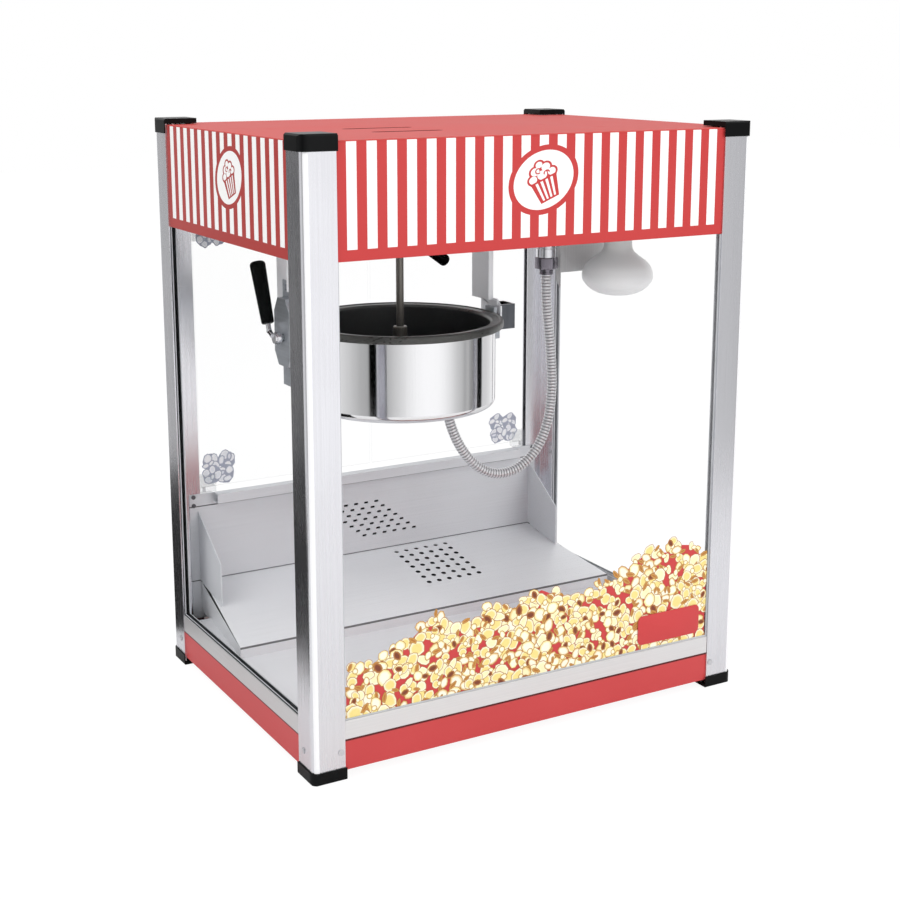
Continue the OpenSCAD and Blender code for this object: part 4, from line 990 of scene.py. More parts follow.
@dataclass
class Cabinet(Assembly):
    """Corner posts, caps, feet, rails, base, glass and the floor plates."""

    post_edge: float = 0.0006
    cap_edge: float = 0.0016
    drawer_skin: float = 0.0005
    rail_top: float = 0.06
    seal_x: float = -0.262
    sieve_low: Flat = (0.02, 0.09)
    sieve_high: Flat = (0.11, 0.18)
    screw_band: Flat = (0.15, 0.3)
    rounded: float = 0.12
    gauze_low: Point = (-0.072, 0.1981, 0.106)
    gauze_high: Point = (0.066, 0.1986, 0.178)

    def below_deck(self, face: Face) -> bool:
        """True for the walls of the sieve's holes and the slope's underside, which get painted shade."""
        wall = abs(face.normal.z) < 0.7 and within(face.center, self.sieve_low, self.sieve_high)
        return face.center.z > self.rail_top and (face.normal.z < -0.5 or wall)

    def on_corner(self, face: Face) -> bool:
        """True for a face of a post's rounded corners."""
        return min(abs(face.normal.x), abs(face.normal.y)) > self.rounded and abs(face.normal.z) < 0.2

    def on_front_corner(self, face: Face) -> bool:
        """True for a face on the front half of a post's outer corner."""
        return face.normal.x < -self.rounded and face.normal.y < -0.62 and abs(face.normal.z) < 0.2

    def seal_in_light(self, face: Face) -> bool:
        """True for the parts of the glass seals that catch the light, which get a painted highlight."""
        return face.center.x > self.seal_x or face.normal.y < -0.5 or face.normal.z > 0.5

    def shade_drawer_inside(self) -> None:
        """Makes the kernel drawer, with painted shade on its inside."""
        low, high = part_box("kernel_drawer")
        skin, open_top = Vector([self.drawer_skin] * 3), Vector((0, 0, 1))
        # The drawer's inside faces get the darker motor-case grey as painted shade.
        self.touch_up(self.soften("kernel_drawer", Look.SHEET), Look.MOTOR, lambda face: within(
            face.center, low + skin, high - skin + open_top))

    def build(self) -> None:
        """Makes every part of the cabinet."""
        for place in ("front_left", "front_right", "rear_left", "rear_right"):
            post = self.soften(f"post_{place}", Look.POST, self.post_edge)
            # The rounded corner faces of each post get the painted highlight.
            self.touch_up(post, Look.EDGE, self.on_front_corner if place == "front_left" else self.on_corner)
        self.soften("top_caps", Look.BLACK, self.cap_edge, 3)
        self.soften("corner_feet", Look.BLACK, self.cap_edge * 0.8, 3)
        low, high = self.screw_band
        screws = self.soften("corner_screws", Look.SCREW, 0.0002)
        self.touch_up(screws, Look.DARK_SCREW, lambda face: low < face.center.z < high)
        for node, look in (("base_pan", Look.RED_BASE), ("rail_front", Look.RAIL_X),
                           ("rail_left", Look.RAIL_Y), ("rail_right", Look.RAIL_Y)):
            self.soften(node, look)
        for hand in ("front", "left", "right"):
            self.coat(f"glass_{hand}", Look.GLASS)
        self.touch_up(self.soften("glass_gaskets", Look.RUBBER, 0.0003), Look.SEAL_PALE, self.seal_in_light)
        # The sieve's hole walls and the slope's underside are painted black as shade.
        self.touch_up(self.soften("deck_plate", Look.DECK), Look.GAUZE, self.below_deck)
        self.soften("rear_apron", Look.APRON)
        gauze = Bench.block("vent_gauze", self.gauze_low, self.gauze_high, 0.0001, 1)
        self.mount(gauze, Look.GAUZE, slot="sheet", body="frame")
        self.soften("ceiling_plate", Look.SHEET)
        self.shade_drawer_inside()
        self.soften("drawer_pull", Look.RED_BASE)


@dataclass
class Canopy(Assembly):
    """The four canopy panels and the top cover."""

    slot_low: Flat = (-0.150, -0.100)
    slot_high: Flat = (-0.050, 0.030)

    def in_slot(self, face: Face) -> bool:
        """True for a wall of the vent slots."""
        return abs(face.normal.z) < 0.7 and within(face.center, self.slot_low, self.slot_high)

    def build(self) -> None:
        """Makes the canopy."""
        for side, look in (("front", Look.STRIPES_FRONT), ("left", Look.STRIPES_LEFT),
                           ("right", Look.STRIPES_RIGHT), ("rear", Look.RED)):
            self.soften(f"canopy_{side}_panel", look)
        self.touch_up(self.soften("top_cover", Look.COVER), Look.SLOT, self.in_slot)


# Prints


class Inks(Enum):
    """A printed kernel's colours: outline, two pale, two deep, two hull."""

    CORN = ((180, 124, 64), (254, 252, 230), (252, 244, 196), (247, 226, 142), (226, 180, 90),
            (124, 58, 30), (186, 120, 52))
    FROST = ((170, 175, 192), (253, 253, 255), (246, 247, 251), (238, 240, 246), (230, 233, 241),
             (236, 238, 245), (168, 174, 194))


@dataclass
class Kernels:
    """Flat printed popcorn: a few kernels of overlapping lobes are modelled, the rest are copies."""

    inks: Inks
    seed: int
    shapes: int = 9
    points: int = 9
    line: float = 0.045
    hulls: float = 0.9
    ground: bool = False
    lobe_rise: float = 0.0000026
    layer_rise: float = 0.000018

    def lobe(self, rng: random.Random, place: Flat, size: Flat, level: int,
             pale: Shade, deep: Shade) -> Thing:
        """Models one outlined lobe, facing up.

        Args:
            rng: The source of its shape.
            place: Its middle.
            size: Its half-width and half-height.
            level: Its layer within the kernel.
            pale: Colour of its middle.
            deep: Colour near its outline.

        Returns:
            The lobe.
        """
        Bench.clear()
        bpy.ops.mesh.primitive_circle_add(vertices=self.points, radius=1.0, fill_type="NGON")
        lobe = bpy.context.object
        turn = rng.uniform(0, math.tau)
        for vertex in lobe.data.vertices:
            reach = rng.uniform(0.88, 1.08)
            x, y = vertex.co.x * size[0] * reach, vertex.co.y * size[1] * reach
            vertex.co = Vector((place[0] + x * math.cos(turn) - y * math.sin(turn),
                                place[1] + x * math.sin(turn) + y * math.cos(turn), float(level)))
        layer = lobe.data.color_attributes.new("ink", "FLOAT_COLOR", "CORNER")
        self.fill(layer, lobe.data.polygons, srgb(*self.inks.value[0]))
        for thickness, colour in ((self.line, deep), (min(size) * 0.34, pale)):
            middle = max(lobe.data.polygons, key=lambda face: len(face.vertices) * 10 + face.area).index
            Bench.pick(lobe, lambda face: face.index == middle)
            bpy.ops.mesh.inset(thickness=thickness, depth=0.0)
            bpy.ops.object.mode_set(mode="OBJECT")
            chosen = [face for face in lobe.data.polygons if face.select]
            self.fill(lobe.data.color_attributes["ink"], chosen, colour)
        core = {i for face in lobe.data.polygons if face.select for i in face.vertices}
        ink = lobe.data.color_attributes["ink"]
        for loop in lobe.data.loops:
            if loop.vertex_index in core:
                ink.data[loop.index].color = pale
        return lobe

    @staticmethod
    def fill(layer: bpy.types.Attribute, faces: Iterable[Face], colour: Shade) -> None:
        """Colours whole faces.

        Args:
            layer: The colours of the faces' corners.
            faces: The faces to fill.
            colour: Their colour.
        """
        for face in faces:
            for corner in face.loop_indices:
                layer.data[corner].color = colour

    def model(self, index: int, rng: random.Random) -> Thing:
        """Models one kernel of radius 1 from its lobes, facing up.

        Args:
            index: The kernel's number.
            rng: The source of its shape.

        Returns:
            The kernel.
        """
        _, white, cream, butter, gold, hull, fold = [srgb(*c) for c in self.inks.value]
        count, start = rng.choice((4, 5) if self.ground else (2, 3, 3, 4)), rng.uniform(0, math.tau)
        lobes = []
        if self.ground:
            outline = srgb(*self.inks.value[0])
            lobes.append(self.lobe(rng, (0.0, 0.0), (0.9, 0.84), -1, outline, outline))
        for k in range(count):
            angle = start + math.tau * k / count + rng.uniform(-0.3, 0.3)
            reach, size = rng.uniform(0.34, 0.48), rng.uniform(0.46, 0.64)
            if self.ground:
                reach, size = rng.uniform(0.46, 0.54), rng.uniform(0.42, 0.5)
            place = (reach * math.cos(angle), reach * math.sin(angle))
            inks = (butter if rng.random() < 0.7 else cream, white) if rng.random() < 0.6 else (
                rng.choice((white, cream)), rng.choice((butter, gold)))
            lobes.append(self.lobe(rng, place, (size, size * rng.uniform(0.62, 1.0)), k, *inks))
        if rng.random() < 0.6:
            lobes.append(self.lobe(rng, (rng.uniform(-0.15, 0.15), rng.uniform(-0.15, 0.15)),
                                   (rng.uniform(0.24, 0.36), 0.24), count, white, butter))
        angle = rng.uniform(0, math.tau)
        for k, share in enumerate((self.hulls, self.hulls * 0.5)):
            if rng.random() < share:
                angle, dark = angle + rng.uniform(1.5, 3.5), rng.random() < 0.6 and k == 0
                reach = 0.40 if dark else 0.56
                place = (reach * math.cos(angle), reach * math.sin(angle))
                lobes.append(self.lobe(rng, place, (0.40, 0.27) if dark else (0.38, 0.17), count + 1,
                                       hull if dark else fold, fold if dark else gold))
        return Bench.join(f"kernel_{index}", lobes)

    def lay(self, name: str, spots: Sequence[tuple[float, float, float]], face: float,
            outward: float) -> Thing:
        """Lays copies of the kernels on an upright sheet, each above those that it overlaps.

        Args:
            name: The print's name.
            spots: x, z and radius of each kernel, the furthest back first.
            face: y of the sheet's face.
            outward: -1 where the sheet faces the front, 1 where it faces the back.

        Returns:
            The print as one piece.
        """
        rng = random.Random(self.seed)
        masters = [self.model(i, rng) for i in range(self.shapes)]
        laid, levels = [], []
        stand = Matrix.Rotation(math.radians(90), 4, "X")
        flip = Matrix.Identity(4) if outward < 0 else Matrix.Rotation(math.pi, 4, "Z")
        for x, z, radius in spots:
            under = [level for (a, b, r), level in zip(spots, levels)
                     if (a - x) ** 2 + (b - z) ** 2 < (r + radius) ** 2]
            levels.append(max(under, default=0) + 1)
            copy = rng.choice(masters).copy()
            copy.data = copy.data.copy()
            bpy.context.scene.collection.objects.link(copy)
            rise = 0.00006 + self.layer_rise * levels[-1]
            spin = Matrix.Rotation(rng.uniform(0, math.tau), 4, "Z")
            size = Matrix.Diagonal((radius, radius, self.lobe_rise, 1.0))
            place = Matrix.Translation((x, face + outward * rise, z))
            copy.data.transform(place @ flip @ stand @ spin @ size)
            laid.append(copy)
        for master in masters:
            bpy.data.objects.remove(master)
        log.info("%s: %d kernels in %d layers", name, len(laid), max(levels))
        return Bench.join(name, laid)


@dataclass
class HeapPrint(Assembly):
    """The popcorn heap printed across the foot of the front glass, with a bare plate on it."""

    face: float = -0.2051
    foot: float = 0.0668
    half: float = 0.2392
    label_out: float = 0.0011
    label_corner: float = 0.0065
    label_thick: float = 0.0003
    ground_drop: float = 0.0125
    tries: int = 20000
    highest: float = 0.2
    smallest: float = 0.0115
    largest: float = 0.0185
    spacing: float = 0.0160
    skyline: tuple[Flat, ...] = (
        (-0.240, 0.108), (-0.226, 0.133), (-0.205, 0.128), (-0.180, 0.143), (-0.160, 0.152),
        (-0.136, 0.171), (-0.110, 0.158), (-0.085, 0.154), (-0.061, 0.166), (-0.035, 0.160),
        (-0.015, 0.168), (0.004, 0.178), (0.020, 0.170), (0.045, 0.156), (0.070, 0.160),
        (0.086, 0.166), (0.110, 0.172), (0.130, 0.186), (0.155, 0.199), (0.178, 0.192),
        (0.190, 0.200), (0.214, 0.196), (0.230, 0.180), (0.240, 0.166))
    plate: tuple[float, float, float, float] = (0.139, 0.2285, 0.0725, 0.108)

    def spots(self) -> list[tuple[float, float, float]]:
        """Places and radii of the kernels, from the top of the heap down.

        Returns:
            x, z and radius of each kernel.
        """
        rng = random.Random(11)
        found: list[tuple[float, float, float]] = []
        for _ in range(self.tries):
            x = rng.uniform(-self.half, self.half)
            z = rng.uniform(self.foot - 0.004, self.highest)
            radius = rng.uniform(self.smallest, self.largest)
            if z > read_off(self.skyline, x) - radius * 0.85:
                continue
            if all((x - a) ** 2 + (z - b) ** 2 > (self.spacing * (0.40 + radius / 0.030)) ** 2
                   for a, b, _ in found):
                found.append((x, z, radius))
        return sorted(found, key=lambda spot: -spot[1] + rng.uniform(-0.006, 0.006))

    def backing(self) -> Thing:
        """The red ground behind the kernels.

        Returns:
            The ground, a thin sheet.
        """
        Bench.clear()
        bpy.ops.mesh.primitive_grid_add(x_subdivisions=96, y_subdivisions=2, size=1.0)
        ground = Bench.made("heap_ground")
        for vertex in ground.data.vertices:
            x = vertex.co.x * 2 * (self.half - 0.001)
            share = vertex.co.y + 0.5
            top = read_off(self.skyline, x) - self.ground_drop
            vertex.co = Vector((x, self.face - 0.00004, self.foot + (top - self.foot) * share))
        Bench.tidy(ground)
        Bench.modify(ground, "SOLIDIFY", thickness=0.00003, offset=0.0)
        return ground

    def bare_plate(self) -> Thing:
        """The blank red label on the heap.

        Returns:
            The label.
        """
        x0, x1, z0, z1 = self.plate
        Bench.clear()
        middle = ((x0 + x1) / 2, self.face - self.label_out, (z0 + z1) / 2)
        bpy.ops.mesh.primitive_plane_add(size=1.0, location=middle, rotation=(math.radians(90), 0, 0))
        label = Bench.made("heap_label")
        label.scale = (x1 - x0, z1 - z0, 1.0)
        bpy.ops.object.transform_apply(location=True, rotation=True, scale=True)
        Bench.edit(label)
        bpy.ops.mesh.bevel(offset=self.label_corner, segments=6, affect="VERTICES")
        bpy.ops.mesh.select_mode(type="FACE")
        bpy.ops.mesh.select_all(action="SELECT")
        bpy.ops.mesh.extrude_region_move(TRANSFORM_OT_translate={"value": (0, -self.label_thick, 0)})
        Bench.tidy(label)
        Bench.bevel(label, 0.0001, 2)
        Bench.smooth(label)
        return label

    def build(self) -> None:
        """Makes the print."""
        heap = Kernels(Inks.CORN, 5).lay("heap_kernels", self.spots(), self.face, -1.0)
        for place, normal in (((self.half, 0, 0), (1, 0, 0)), ((-self.half, 0, 0), (-1, 0, 0)),
                              ((0, 0, self.foot), (0, 0, -1))):
            Bench.trim(heap, place, normal)
        self.mount(heap, Look.HEAP, slot="glass", body="frame")
        for part in (self.backing(), self.bare_plate()):
            self.mount(part, Look.RED, slot="red_paint", body="frame")


# Doors


@dataclass
class Doors(Assembly):
    """The two acrylic rear doors with their fittings, knobs and frosted corner ornaments."""

    pane_y: float = 0.2020
    half_pane: float = 0.0025
    knob_x: float = 0.0235
    knob_z: float = 0.380
    knob_radius: float = 0.011
    knob_reach: float = 0.0080
    outside: float = 0.2045
    right_inset: float = 0.0105
    low: tuple[Point, ...] = ((0.2045, 0.2490, 0.0140), (0.2250, 0.2480, 0.0140),
                              (0.2060, 0.2310, 0.0140), (0.2245, 0.2320, 0.0145))
    high: tuple[Point, ...] = ((0.2240, 0.5290, 0.0130), (0.2065, 0.5305, 0.0130))

    def knob(self, name: str, sign: int) -> Thing:
        """One turned knob on the outside of a door.

        Args:
            name: The knob's name.
            sign: -1 on the left door, 1 on the right.

        Returns:
            The knob.
        """
        r, h = self.knob_radius, self.knob_reach
        profile = [(0.0, 0.0), (r * 0.6, 0.0), (r * 0.55, 0.0012), (r * 0.55, 0.0022)]
        profile += arc(r - 0.0022, h - 0.0022, 0.0022, -70, 90, 8)
        profile += [(r * 0.5, h - 0.0001), (r * 0.3, h - 0.0006), (0.0, h - 0.0008)]
        place = Matrix.Translation((sign * self.knob_x, self.outside, self.knob_z))
        return Bench.set_down(Bench.turn(name, profile, 48),
                              place @ Matrix.Rotation(math.radians(-90), 4, "X"))

    def ornaments(self, sign: int) -> Thing:
        """Frosted kernels in a door's two lower and upper corners.

        Args:
            sign: -1 on the left door, 1 on the right.

        Returns:
            The print.
        """
        inset = self.right_inset if sign > 0 else 0.0
        spots = [(sign * x, z, r) for x, z, r in self.high]
        spots += [(sign * (x - inset), z, r) for x, z, r in self.low]
        return Kernels(Inks.FROST, 21 + sign, line=0.08, hulls=0.3, ground=True).lay(
            f"door_ornament_{'left' if sign < 0 else 'right'}", spots, self.pane_y - self.half_pane, -1.0)

    def build(self) -> None:
        """Makes both doors."""
        for side, sign in (("left", -1), ("right", 1)):
            body = f"door_{side}"
            self.coat(f"{body}_pane", Look.ACRYLIC)
            self.soften(f"{body}_fittings", Look.CLAMP, 0.0006)
            self.mount(self.ornaments(sign), Look.ORNAMENT, slot="acrylic", body=body)
            knob = self.knob(f"{body}_knob", sign)
            self.mount(knob, Look.FITTING, slot="hinge_black", body=body)
        self.soften("post_hinges", Look.CLAMP, 0.0008)
        self.soften("door_catch", Look.MAGNET, 0.0005)


# Kettle


@dataclass
class Kettle(Assembly):
    """The tilting kettle: shell, pan, heater, pivots, stirrer and the handle that tips it."""

    x: float = -0.062
    shell_radius: float = 0.1115
    shell_low: float = 0.346
    shell_wall: float = 0.0012
    rim_radius: float = 0.121
    rim_low: float = 0.438
    rim_top: float = 0.447
    pan_radius: float = 0.105
    pan_floor: float = 0.369
    pan_wall: float = 0.002

    def shell(self) -> Thing:
        """The polished outer shell, open at its foot.

        Returns:
            The shell.
        """
        s, t, b, k = self.shell_radius, self.shell_wall, self.shell_low, 0.009
        profile = [(s - k - 0.014, b)] + arc(s - k, b + k, k, -90, 0, 14)
        profile += [(s, b + 0.03), (s, b + 0.06), (s, self.rim_low), (s - t, self.rim_low)]
        profile += arc(s - k, b + k, k - t, 0, -90, 10) + [(s - k - 0.014, b + t), (s - k - 0.014, b)]
        return Bench.set_down(Bench.turn("kettle_shell_turned", profile, 128),
                              Matrix.Translation((self.x, 0, 0)))

    def pan(self) -> Thing:
        """The dark pan with its rolled rim.

        Returns:
            The pan.
        """
        r, o, f, w = self.pan_radius, self.pan_radius + self.pan_wall, self.pan_floor, self.pan_wall
        rim, low, top = self.rim_radius, self.rim_low, self.rim_top
        profile = [(0.0, f - w)] + arc(o - 0.012, f - w + 0.012, 0.012, -90, 0, 8)
        profile += [(o, low + 0.0005)] + arc(rim - 0.0018, low + 0.0018, 0.0018, -90, -10, 5)
        profile += arc(rim - 0.0030, top - 0.0030, 0.0030, 5, 90, 7)
        profile += [(rim - 0.0045, top), (rim - 0.0052, top - 0.0009), (rim - 0.0095, top - 0.0011)]
        profile += arc(r + 0.0045, top - 0.0058, 0.0045, 90, 180, 8)
        profile += arc(r - 0.010, f + 0.010, 0.010, 0, -90, 8) + [(0.03, f), (0.0, f)]
        return Bench.set_down(Bench.turn("kettle_pan_turned", profile, 128),
                              Matrix.Translation((self.x, 0, 0)))

    def in_well(self, face: Face) -> bool:
        """Finds the pan's inside, below its rim.

        Args:
            face: A face of the pan.

        Returns:
            True for a face on the inside.
        """
        x, y = face.center.x - self.x, face.center.y
        inward = face.normal.x * x + face.normal.y * y < 0 or face.normal.z > 0.5
        return inward and math.hypot(x, y) < self.pan_radius + 0.0004

    def build(self) -> None:
        """Makes the kettle and its tilt handle."""
        self.mount(self.shell(), Look.POLISHED, "kettle_shell")
        # The pan's inside gets the darker copy of its finish as painted shade.
        self.touch_up(self.mount(self.pan(), Look.PAN, "kettle_pan"), Look.PAN_WELL, self.in_well)
        for row in (("kettle_heater", Look.CAST, 0.0006), ("kettle_base_plate", Look.ZINC),
                    ("kettle_pivot_left", Look.ZINC), ("kettle_pivot_right", Look.ZINC),
                    ("conduit_inlet", Look.STEEL), ("stirrer", Look.SHAFT),
                    ("tilt_handle_rod", Look.STEEL, 0.0003, 2, 45.0),
                    ("tilt_handle_grip", Look.GRIP, 0.0012, 3, 60.0)):
            self.soften(*row)


@dataclass
class Hangers(Assembly):
    """The two straps that carry the kettle, the pivot housing and the drive above."""

    clasp_depth: float = 0.019
    clasp_half: float = 0.013
    clasp_top: float = 0.454
    clasp_wall: float = 0.001

    def in_clasp(self, face: Face, inset: float) -> bool:
        """Finds the open box at the right pin.

        Args:
            face: A face of the right hanger.
            inset: Distance from the box's walls; 0 takes the walls as well.

        Returns:
            True for a face within.
        """
        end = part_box("hanger_right")[1].x
        x, y, z = face.center
        slack = -inset or self.clasp_wall
        ahead = x < end - inset or not inset
        return (end - self.clasp_depth + inset < x and ahead and abs(y) < self.clasp_half + slack
                and z < self.clasp_top + slack)

    def build(self) -> None:
        """Makes the hangers and the drive."""
        self.soften("hanger_left", Look.STRAP)
        right = self.soften("hanger_right", Look.STRAP)
        # Painted shade: the clasp box's walls are darker and its hollow black.
        self.touch_up(right, Look.CLASP, lambda face: self.in_clasp(face, 0.0) and face.normal.z < 0.9)
        self.touch_up(right, Look.GAUZE, lambda face: self.in_clasp(face, 0.0018))
        for row in (("pivot_housing", Look.ZINC, 0.0007), ("drive_shaft", Look.SHAFT),
                    ("gear_motor", Look.MOTOR, 0.0008)):
            self.soften(*row)


# Conduit


@dataclass
class Conduit(Assembly):
    """The flexible metal conduit from the ceiling to the kettle, and its connector."""

    x: float = 0.141
    radius: float = 0.0064
    rib: float = 0.0040
    crest: tuple[int, int, int] = (240, 240, 243)
    # The groove colour is painted shade between the ribs.
    groove: tuple[int, int, int] = (136, 133, 136)
    route: tuple[Point, ...] = (
        (0.141, 0, 0.484), (0.141, 0, 0.476), (0.1415, 0, 0.460), (0.143, 0, 0.438), (0.146, 0, 0.415),
        (0.149, 0, 0.390), (0.151, 0, 0.365), (0.1515, 0, 0.340), (0.1495, 0, 0.315), (0.144, 0, 0.292),
        (0.134, 0, 0.271), (0.119, 0, 0.254), (0.100, 0, 0.243), (0.080, 0, 0.240), (0.060, 0, 0.244),
        (0.042, 0, 0.255), (0.027, 0, 0.271), (0.0155, 0, 0.289), (0.0075, 0, 0.307), (0.0038, 0, 0.319),
        (0.003, 0, 0.327), (0.003, 0, 0.334))

    def shade(self, hose: Thing, line: Sequence[Vector]) -> None:
        """Darkens the grooves between the ribs with painted shade.

        Args:
            hose: The ribbed mesh.
            line: Its centre line.
        """
        tree = KDTree(len(line))
        for i, point in enumerate(line):
            tree.insert(point, i)
        tree.balance()
        ink = hose.data.color_attributes.new("ink", "FLOAT_COLOR", "POINT")
        crest, groove = srgb(*self.crest), srgb(*self.groove)
        for i, vertex in enumerate(hose.data.vertices):
            share = min(max((tree.find(vertex.co)[2] / self.radius - 0.87) / 0.10, 0.0), 1.0)
            ink.data[i].color = [g + (c - g) * share for g, c in zip(groove, crest)]

    def hose(self) -> Thing:
        """The ribbed conduit.

        Returns:
            The hose.
        """
        line = smooth_line(self.route, self.rib / 5)
        shape = (1.0, 0.99, 0.94, 0.86, 0.94)
        radii = [shape[i % 5] for i in range(len(line))]
        hose = Bench.rod("conduit_hose", [tuple(p) for p in line], self.radius, radii, 3)
        self.shade(hose, line)
        hose.data.materials.clear()
        hose.data.materials.append(Look.CONDUIT.material())
        path = [tuple(p) for p in smooth_line(self.route, 0.012)]
        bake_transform(hose)
        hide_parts("conduit")
        return hose

    def connector(self) -> Thing:
        """The turned gland on the ceiling: body, hexagon nut and ferrule.

        Returns:
            The gland.
        """
        body = Bench.turn("connector_body", [
            (0.0095, 0.505), (0.0118, 0.505), (0.0125, 0.5058), (0.0125, 0.516), (0.0119, 0.5166),
            (0.0119, 0.5176), (0.0125, 0.5182), (0.0125, 0.583), (0.0121, 0.585), (0.0095, 0.585),
            (0.0095, 0.505)], 64)
        Bench.clear()
        bpy.ops.mesh.primitive_cylinder_add(vertices=6, radius=0.0142, depth=0.0138, location=(0, 0, 0.4982))
        nut = bpy.context.object
        Bench.pick(nut, lambda face: abs(face.normal.z) > 0.9)
        bpy.ops.mesh.inset(thickness=0.0022, depth=0.0006)
        Bench.bevel(nut, 0.0005, 2, 20.0)
        Bench.smooth(nut)
        ferrule = Bench.turn("ferrule", [
            (0.0066, 0.484), (0.0080, 0.484), (0.0086, 0.4846), (0.0086, 0.4868), (0.0082, 0.4872),
            (0.0082, 0.4878), (0.0086, 0.4882), (0.0086, 0.4914), (0.0066, 0.4914), (0.0066, 0.484)], 48)
        locknut = Bench.turn("locknut", [(0.0, 0.5862), (0.013, 0.5862), (0.013, 0.5908), (0.0122, 0.5912),
                                         (0.008, 0.5912), (0.008, 0.5945), (0.0, 0.5945)], 6)
        for part, look in ((body, Look.STEEL), (nut, Look.NUT), (ferrule, Look.NUT), (locknut, Look.NUT)):
            part.data.materials.append(look.material())
        whole = Bench.join("conduit_gland", [body, nut, ferrule, locknut])
        return Bench.set_down(whole, Matrix.Translation((self.x, 0, 0)))

    def build(self) -> None:
        """Makes the conduit's connector."""
        self.mount(self.connector(), None, "conduit_connector")


# Lamp, lever, switches


@dataclass
class Lamp(Assembly):
    """The frosted reflector lamp, its holder and the shield beside it."""

    x: float = 0.212
    y: float = -0.050
    radius: float = 0.0434
    neck: float = 0.0152
    # Face and back: the glass's white foot and the grey of its neck, with painted shade between them.
    face: tuple[int, int, int] = (252, 253, 254)
    back: tuple[int, int, int] = (222, 223, 222)
    neck_top: float = 0.5460
    form: tuple[Flat, ...] = (
        (0, 0), (0.28, 0.0007), (0.5, 0.0026), (0.68, 0.0058), (0.82, 0.010), (0.92, 0.0148), (0.98, 0.019),
        (1, 0.0235), (0.985, 0.0285), (0.915, 0.0363), (0.77, 0.0427), (0.575, 0.049), (0.445, 0.0544),
        (0.395, 0.0608), (0.387, 0.074))

    def bulb(self) -> Thing:
        """The lamp's glass: shallow dome with a seam, round shoulder and a long neck.

        Returns:
            The glass.
        """
        lo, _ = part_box("lamp_bulb")
        outline = smooth_line([(share * self.radius, 0.0, lo.z + up) for share, up in self.form], 0.0016)
        profile = [(p.x, p.z) for p in outline]
        seam = [(r - 0.0004 * math.exp(-((z - lo.z - 0.0152) / 0.0007) ** 2), z) for r, z in profile]
        top = [(self.neck, self.neck_top - 0.001), (self.neck - 0.0024, self.neck_top), (0.0, self.neck_top)]
        return Bench.set_down(Bench.turn("lamp_glass", seam + top),
                              Matrix.Translation((self.x, self.y, 0)))

    def tint(self, bulb: Thing) -> None:
        """Colours the frosted glass white below, grading to grey towards the neck as painted shade.

        Args:
            bulb: The glass.
        """
        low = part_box("lamp_bulb")[0].z
        ink = bulb.data.color_attributes.new("ink", "FLOAT_COLOR", "POINT")
        face, back = srgb(*self.face), srgb(*self.back)
        for i, vertex in enumerate(bulb.data.vertices):
            share = min(max((vertex.co.z - low - 0.016) / 0.040, 0.0), 1.0)
            ink.data[i].color = [f + (b - f) * share for f, b in zip(face, back)]

    def build(self) -> None:
        """Makes the lamp."""
        self.tint(self.mount(self.bulb(), Look.FROST, "lamp_bulb"))
        self.soften("lamp_holder", Look.CERAMIC, 0.0010, 3)
        self.soften("lamp_shield", Look.SHIELD, 0.0003)


@dataclass
class Controls(Assembly):
    """The lever under the canopy, the rear switches and the cord gland."""

    def build(self) -> None:
        """Makes the controls."""
        for row in (("lever_bracket", Look.ZINC, 0.0005), ("lever_arm", Look.STEEL),
                    ("lever_grip", Look.GRIP, 0.0010, 3, 60.0), ("switch_housing", Look.BLACK, 0.0006),
                    ("cord_gland", Look.BLACK, 0.0006)):
            self.soften(*row)
        for name in ("heat", "motor", "light"):
            self.soften(f"rocker_{name}", Look.GRIP, 0.0008, 3, 50.0)


# Studio


